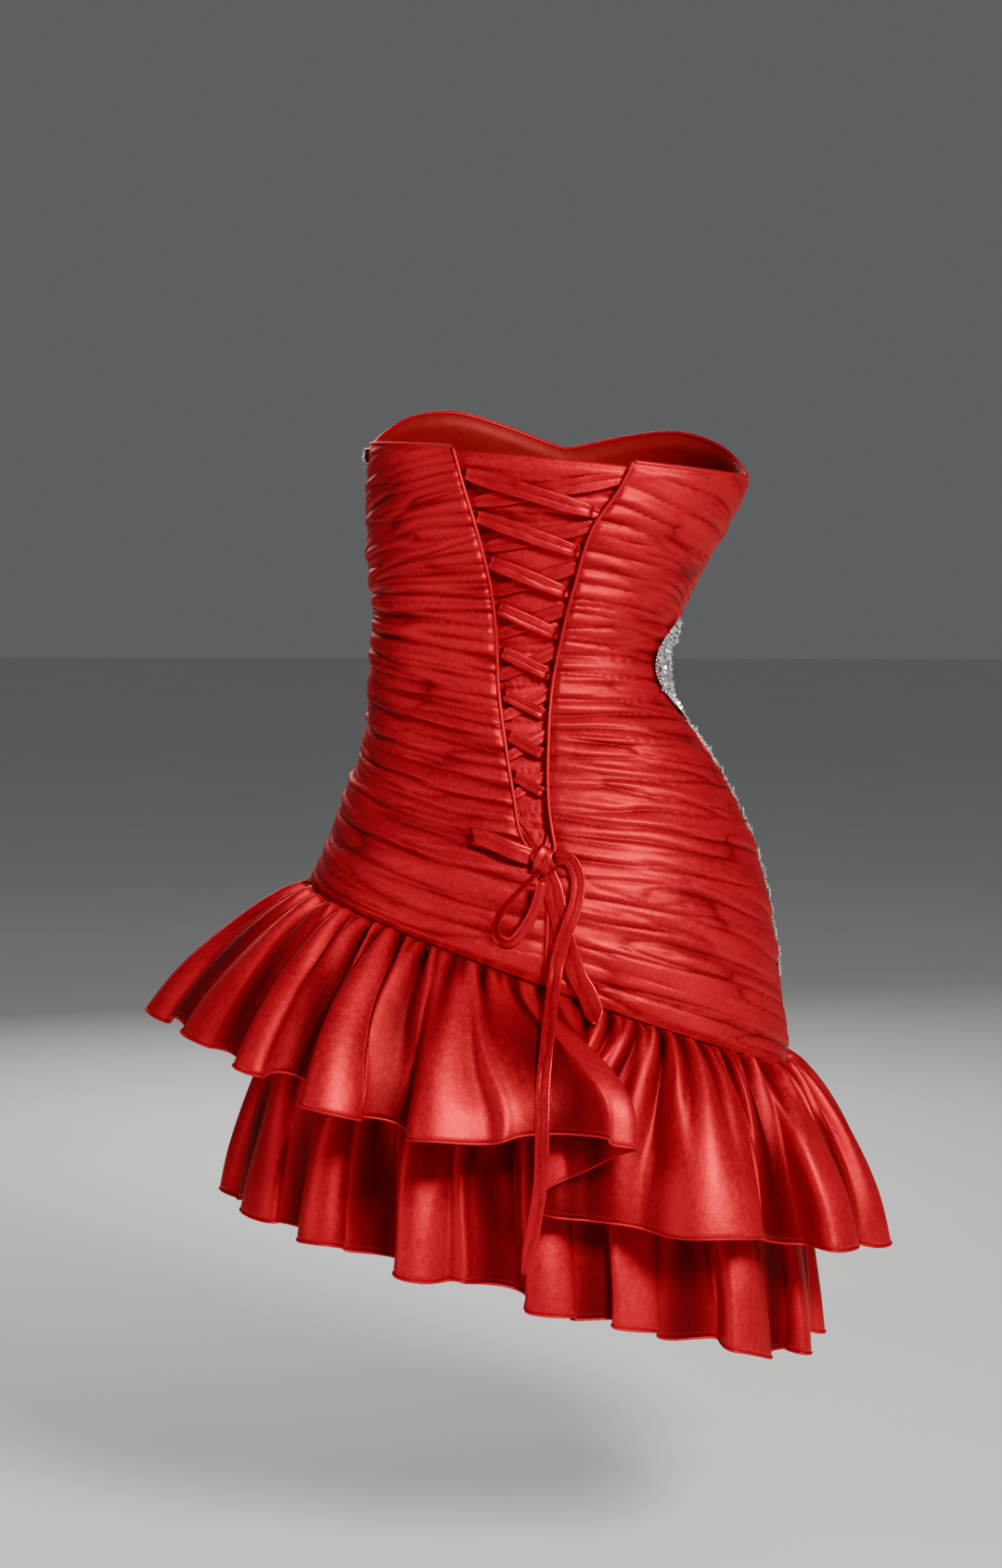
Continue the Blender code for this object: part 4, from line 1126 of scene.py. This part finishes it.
# Beaded applique
applique = {
    "wall": 0.5, "lift": 0.9, "bandFrom": -62, "bandTo": 97, "bandLift": 0.2, "bandDrop": 5, "bandWidth": 20,
    "sideGrid": (12, 130), "bandGrid": (160, 10),
}
# Spray rows: height, angle, half width
spray = np.array(sorted([
    (-76, -100, 7), (-92, -98, 24), (-112, -96, 30), (-132, -93, 20), (-150, -88, 8), (-175, -85, 5),
    (-215, -85, 5), (-270, -86, 5), (-306, -87, 6), (-324, -88, 11), (-338, -88, 5),
]), float)


def crest(angle):
    fromSeam = 90 - np.abs(turned(angle))
    return 3.6 * ease(np.where(fromSeam > 0, fromSeam / 20, -fromSeam / 8))


def spraySurface(out):
    across, down = gridShares(*applique["sideGrid"])
    height = spray[-1, 0] + (spray[0, 0] - spray[-1, 0]) * down
    angle, reach = curveThrough(spray, 1, height), curveThrough(spray, 2, height)
    x, y = bodyRing(angle, height)
    angle = angle + np.degrees(reach * (2 * across - 1) / np.hypot(x, y))
    return onBody(angle, height, crest(angle) + out)


def bandSurface(out):
    across, down = gridShares(*applique["bandGrid"])
    angle = applique["bandFrom"] + (applique["bandTo"] - applique["bandFrom"]) * across
    taper = 0.35 + 0.65 * inFromEnds(across, 6)
    width = applique["bandWidth"] * taper * (1 + 0.18 * np.sin(0.35 * angle))
    return onBody(angle, neckline(angle) - applique["bandDrop"] - width * down, 0.8 * crest(angle) + out)


def buildNet(node, points):
    place(clothSheet(node + "_net", points, bodySatin, applique["wall"]), [node])


buildNet("side_applique", spraySurface(applique["lift"] + 0.8))
buildNet("neckline_applique", bandSurface(applique["bandLift"] + 0.8))

# Beads scattered over the net, beads strung along lines, and stitches along seams, each by one tree
scatter = PatternTree("scattered_beads", {
    "Size": "Float", "Uneven": "Float", "Spacing": "Float", "Per square metre": "Float",
    "Seed": "Int", "Facets": "Int",
})
spots = scatter.node("GeometryNodeDistributePointsOnFaces", {"distribute_method": "POISSON"}, {
    "Mesh": scatter.given("Geometry"), "Distance Min": scatter.given("Spacing"),
    "Density Max": scatter.given("Per square metre"), "Seed": scatter.given("Seed"),
})
gem = scatter.node("GeometryNodeMeshCone", {}, {
    "Vertices": scatter.given("Facets"), "Radius Top": 0.5, "Radius Bottom": 1.0, "Depth": 0.9,
})
size, uneven = scatter.given("Size"), scatter.given("Size") * scatter.given("Uneven")
sizes = scatter.node("FunctionNodeRandomValue", {"data_type": "FLOAT"}, {
    2: size - uneven, 3: size + uneven, "Seed": scatter.given("Seed"),
}, 1)
turns = Wire(scatter, spots.socket.node.outputs["Rotation"])
scatter.finishWith(scatter.node("GeometryNodeInstanceOnPoints", {}, {
    "Points": spots, "Instance": gem, "Rotation": turns, "Scale": sizes,
}), 5)

strung = PatternTree("strung_beads", {"Pitch": "Float", "Size": "Float", "Long": "Float", "Facets": "Int"})
line = strung.node("GeometryNodeMeshToCurve", {}, {"Mesh": strung.given("Geometry")})
pitch, facets = strung.given("Pitch"), strung.given("Facets")
even = strung.node("GeometryNodeResampleCurve", {"mode": "LENGTH"}, {"Curve": line, "Length": pitch})
bead = strung.node("GeometryNodeMeshUVSphere", {}, {"Segments": facets, "Rings": 4, "Radius": 1.0})
tangent = strung.node("GeometryNodeInputTangent", {}, {})
aim = strung.node("FunctionNodeAlignRotationToVector", {"axis": "Z"}, {"Vector": tangent})
size = strung.given("Size")
spread = strung.node("ShaderNodeCombineXYZ", {}, {0: size, 1: size, 2: size * strung.given("Long")})
strung.finishWith(strung.node("GeometryNodeInstanceOnPoints", {}, {
    "Points": even, "Instance": bead, "Rotation": aim, "Scale": spread,
}), 8)


def carrierLine(paths):
    verts, edges = [], []
    for path in paths:
        edges += [(len(verts) + i, len(verts) + i + 1) for i in range(len(path) - 1)]
        verts += np.asarray(path, float).tolist()
    mesh = bpy.data.meshes.new("carrier")
    mesh.from_pydata(verts, edges, [])
    return addObject("carrier", mesh)


gems = {
    "crystals": {
        "Size": 0.0019, "Uneven": 0.35, "Spacing": 0.0030, "Per square metre": 110000.0,
        "Seed": 4, "Facets": 7,
    },
    "seeds": {
        "Size": 0.00085, "Uneven": 0.25, "Spacing": 0.0016, "Per square metre": 300000.0,
        "Seed": 9, "Facets": 5,
    },
    "strung": {"Pitch": 0.0027, "Size": 0.00115, "Long": 1.0, "Facets": 8},
    "petalSize": (3.4, 1.7, 1.1), "middleSize": (1.9, 1.9, 1.5),
    # Rows: height, degrees aside from the spray's middle, reach of the petals, how many
    "sideFlowers": [
        (-86, 0, 4.2, 6), (-98, -7, 4.8, 6), (-97, 6, 4.6, 6), (-111, -1, 5.4, 7), (-113, -12, 4.4, 6),
        (-114, 10, 4.6, 6), (-126, -6, 4.8, 6), (-128, 5, 4.4, 6), (-143, 0, 4.2, 6), (-324, 0, 5.6, 7),
        (-79, -2, 3.6, 5), (-104, 15, 4.0, 5), (-104, -15, 4.0, 5), (-122, 14, 3.8, 5), (-122, -14, 3.8, 5),
    ],
    # Leaf sprigs down the spray: first height, last height, how many
    "sprigs": (-158, -308, 11),
    # Rows: angle, share of the band's width above it, reach of the petals
    "bandFlowers": [(-54, 0.3, 4.4), *((angle, 0.5, 4.4) for angle in range(-40, 73, 14))],
    "bandEndFlowers": [(83, 0.3, 4.4), (90, 0.3, 5.6), (95, 0.3, 5.6)],
}


def flowerAt(angle, height, out, reach, count):
    angle, height = np.array(float(angle)), np.array(float(height))
    nx, ny = outward(angle, height)
    return onBody(angle, height, out), (float(nx), float(ny), 0.0), reach, count


def buildPetals(slot, flowers):
    # Cut stones set as petals round a middle stone. Each flower: middle, outward, reach, how many.
    shape = bmesh.new()
    for middle, out, reach, count in flowers:
        out = Vector(out).normalized()
        side = Vector((0, 0, 1)).cross(out).normalized()
        rise = out.cross(side)
        stones = [(0.0, 0.0, gems["middleSize"], 0.0)]
        for turn in (2 * math.pi * k / count for k in range(count)):
            stones.append((reach * math.cos(turn), reach * math.sin(turn), gems["petalSize"], turn))
        for a, b, size, turn in stones:
            along = side * math.cos(turn) + rise * math.sin(turn)
            over = out.cross(along)
            centre = Vector(middle) + (side * a + rise * b) * mm
            stone = bmesh.ops.create_cone(shape, cap_ends=True, segments=8, radius1=1, radius2=0.45, depth=1)
            for corner in stone["verts"]:
                x, y, z = corner.co
                reached = along * x * size[0] + over * y * size[1] + out * (z + 0.5) * size[2]
                corner.co = centre + reached * mm
    made = carved(slot + "_flowers", shape, crystalGlass)
    made.data.shade_flat()
    draw = made.data.attributes.new("draw", "FLOAT", "POINT")
    drawn = np.random.default_rng(2).uniform(0.3, 1.0, len(made.data.vertices))
    draw.data.foreach_set("value", drawn.astype(np.float32))
    place(made)


def buildBeads():
    side, band = spraySurface(2.0), bandSurface(1.3)
    for slot, patch in (("side_applique", side), ("neckline_applique", band)):
        for kind, finish in (("crystals", crystalGlass), ("seeds", beadSilver)):
            carrier, settings = makeGrid("carrier", patch, finish), {**gems[kind], "Finish": finish}
            place(scatter.make(f"{slot}_{kind}", carrier, settings, False))
    sideLines, bandLines = [side[:, 0], side[:, -1], side[20:, 6]], [band[0], band[-1]]
    for slot, paths in (("side_applique", sideLines), ("neckline_applique", bandLines)):
        settings = {**gems["strung"], "Finish": beadSilver}
        place(strung.make(slot + "_strings", carrierLine(paths), settings, True))


def buildFlowers():
    flowers = []
    for height, aside, reach, count in gems["sideFlowers"]:
        angle = float(curveThrough(spray, 1, np.array(float(height)))) + aside
        flowers.append(flowerAt(angle, height, 3.1 + crest(np.array(angle)), reach, count))
    for i, height in enumerate(np.linspace(*gems["sprigs"])):
        angle = float(curveThrough(spray, 1, height)) + (2.2 if i % 2 else -2.2)
        flowers.append(flowerAt(angle, height, 2.6 + crest(np.array(angle)), 3.0, 3))
    buildPetals("side_applique", flowers)
    flowers = []
    for angle, share, reach in gems["bandFlowers"] + gems["bandEndFlowers"]:
        height = neckline(np.array(float(angle))) - applique["bandDrop"] - share * applique["bandWidth"]
        flowers.append(flowerAt(angle, height, 2.6 + 0.8 * crest(np.array(float(angle))), reach, 6))
    buildPetals("neckline_applique", flowers)


buildBeads()
buildFlowers()
print("beads sewn on")

stitching = {"pitch": 0.0032, "length": 0.0011, "radius": 0.00022}


def buildStitches():
    settings = {
        "Pitch": stitching["pitch"], "Size": stitching["radius"], "Facets": 5, "Finish": threadRed,
        "Long": stitching["length"] / stitching["radius"],
    }
    for node, path in stitchLines.items():
        place(strung.make(node + "_hem_stitches", carrierLine([path]), settings, True))


buildStitches()
print("hems stitched")

# How each sheet of cloth was cut: width, length, share of that rectangle, how it is held, what is under it
backLinings = ["back_left_panel_lining", "back_right_panel_lining"]
cuts = {
    "front_panel_cloth": (0.45, 0.50, 0.80, "stretched", ["front_panel_lining"]),
    "back_left_panel_cloth": (0.22, 0.42, 0.80, "stretched", ["back_left_panel_lining"]),
    "back_right_panel_cloth": (0.22, 0.52, 0.80, "stretched", ["back_right_panel_lining"]),
    "front_panel_lining": (0.44, 0.47, 0.80, "stretched", []),
    "back_left_panel_lining": (0.21, 0.36, 0.80, "stretched", []),
    "back_right_panel_lining": (0.21, 0.47, 0.80, "stretched", []),
    "modesty_panel_cloth": (0.16, 0.36, 0.75, "stretched", backLinings),
    "underskirt_front_cloth": (0.47, 0.11, None, "hung", ["front_panel_lining"]),
    "underskirt_back_cloth": (0.47, 0.11, None, "hung", backLinings),
    "upper_ruffle_front_cloth": (1.05, 0.15, None, "gathered", ["front_panel_cloth"]),
    "upper_ruffle_back_cloth": (
        1.15, 0.15, None, "gathered", ["back_left_panel_cloth", "back_right_panel_cloth"],
    ),
    "lower_ruffle_front_cloth": (0.90, 0.145, None, "gathered", ["underskirt_front_cloth"]),
    "lower_ruffle_back_cloth": (0.84, 0.145, None, "gathered", ["underskirt_back_cloth"]),
    "side_applique_net": (0.062, 0.265, 0.34, "laid", ["front_panel_cloth", "back_right_panel_cloth"]),
    "neckline_applique_net": (0.40, 0.024, None, "laid", ["front_panel_cloth", "back_left_panel_cloth"]),
}


def declareSheets():
    for name, (width, length, share, held, under) in cuts.items():
        stem = name.rsplit("_", 1)[0] + "_"
        sewn = [made for made in bpy.data.objects if made.name.startswith(stem) and made.name != name]
        if not name.endswith("_net"):
            sewn = [made for made in sewn if made.name in (stem + "hem", stem + "hem_stitches")]


declareSheets()

# Studio: pale floor and backdrop, soft light from the camera's right
studio = {
    "floor": -0.80, "floorSize": 30.0, "sky": 0.13, "skyTone": (0.90, 0.91, 0.93, 1),
    "aim": (0.0, 0.0, -0.25),
    # Rows: place, power, size, tone
    "lights": {
        "key": ((-1.25, 1.95, 0.95), 96.0, 0.65, (1, 0.98, 0.95)),
        "fill": ((1.9, 1.5, 0.2), 14.0, 1.4, (1, 1, 1)),
        "front": ((0.6, -2.0, 0.8), 34.0, 1.2, (1, 1, 1)),
    },
}


def buildStudio():
    floor = Finish("pale_floor", {"Roughness": 0.85})
    clouds = floor.noise(floor.objectPlace(), 3.0)
    floor.shade("Base Color", floor.mixColour(clouds, (0.78, 0.78, 0.77, 1), (0.84, 0.84, 0.83, 1)))
    corners = [(-1, -1), (1, -1), (1, 1), (-1, 1)]
    verts = [(x * studio["floorSize"], y * studio["floorSize"], studio["floor"]) for x, y in corners]
    makeObject("floor", verts, [(0, 1, 2, 3)], floor.material, False)
    world = bpy.data.worlds.new("studio")
    world.use_nodes = True
    sky = world.node_tree.nodes["Background"].inputs
    sky["Color"].default_value, sky["Strength"].default_value = studio["skyTone"], studio["sky"]
    bpy.context.scene.world = world
    for name, (spot, power, size, tone) in studio["lights"].items():
        light = bpy.data.lights.new(name, "AREA")
        light.energy, light.size, light.color = power, size, tone
        made = addObject(name, light)
        made.location = spot
        turnTo(made, Vector(studio["aim"]) - Vector(spot))


buildStudio()
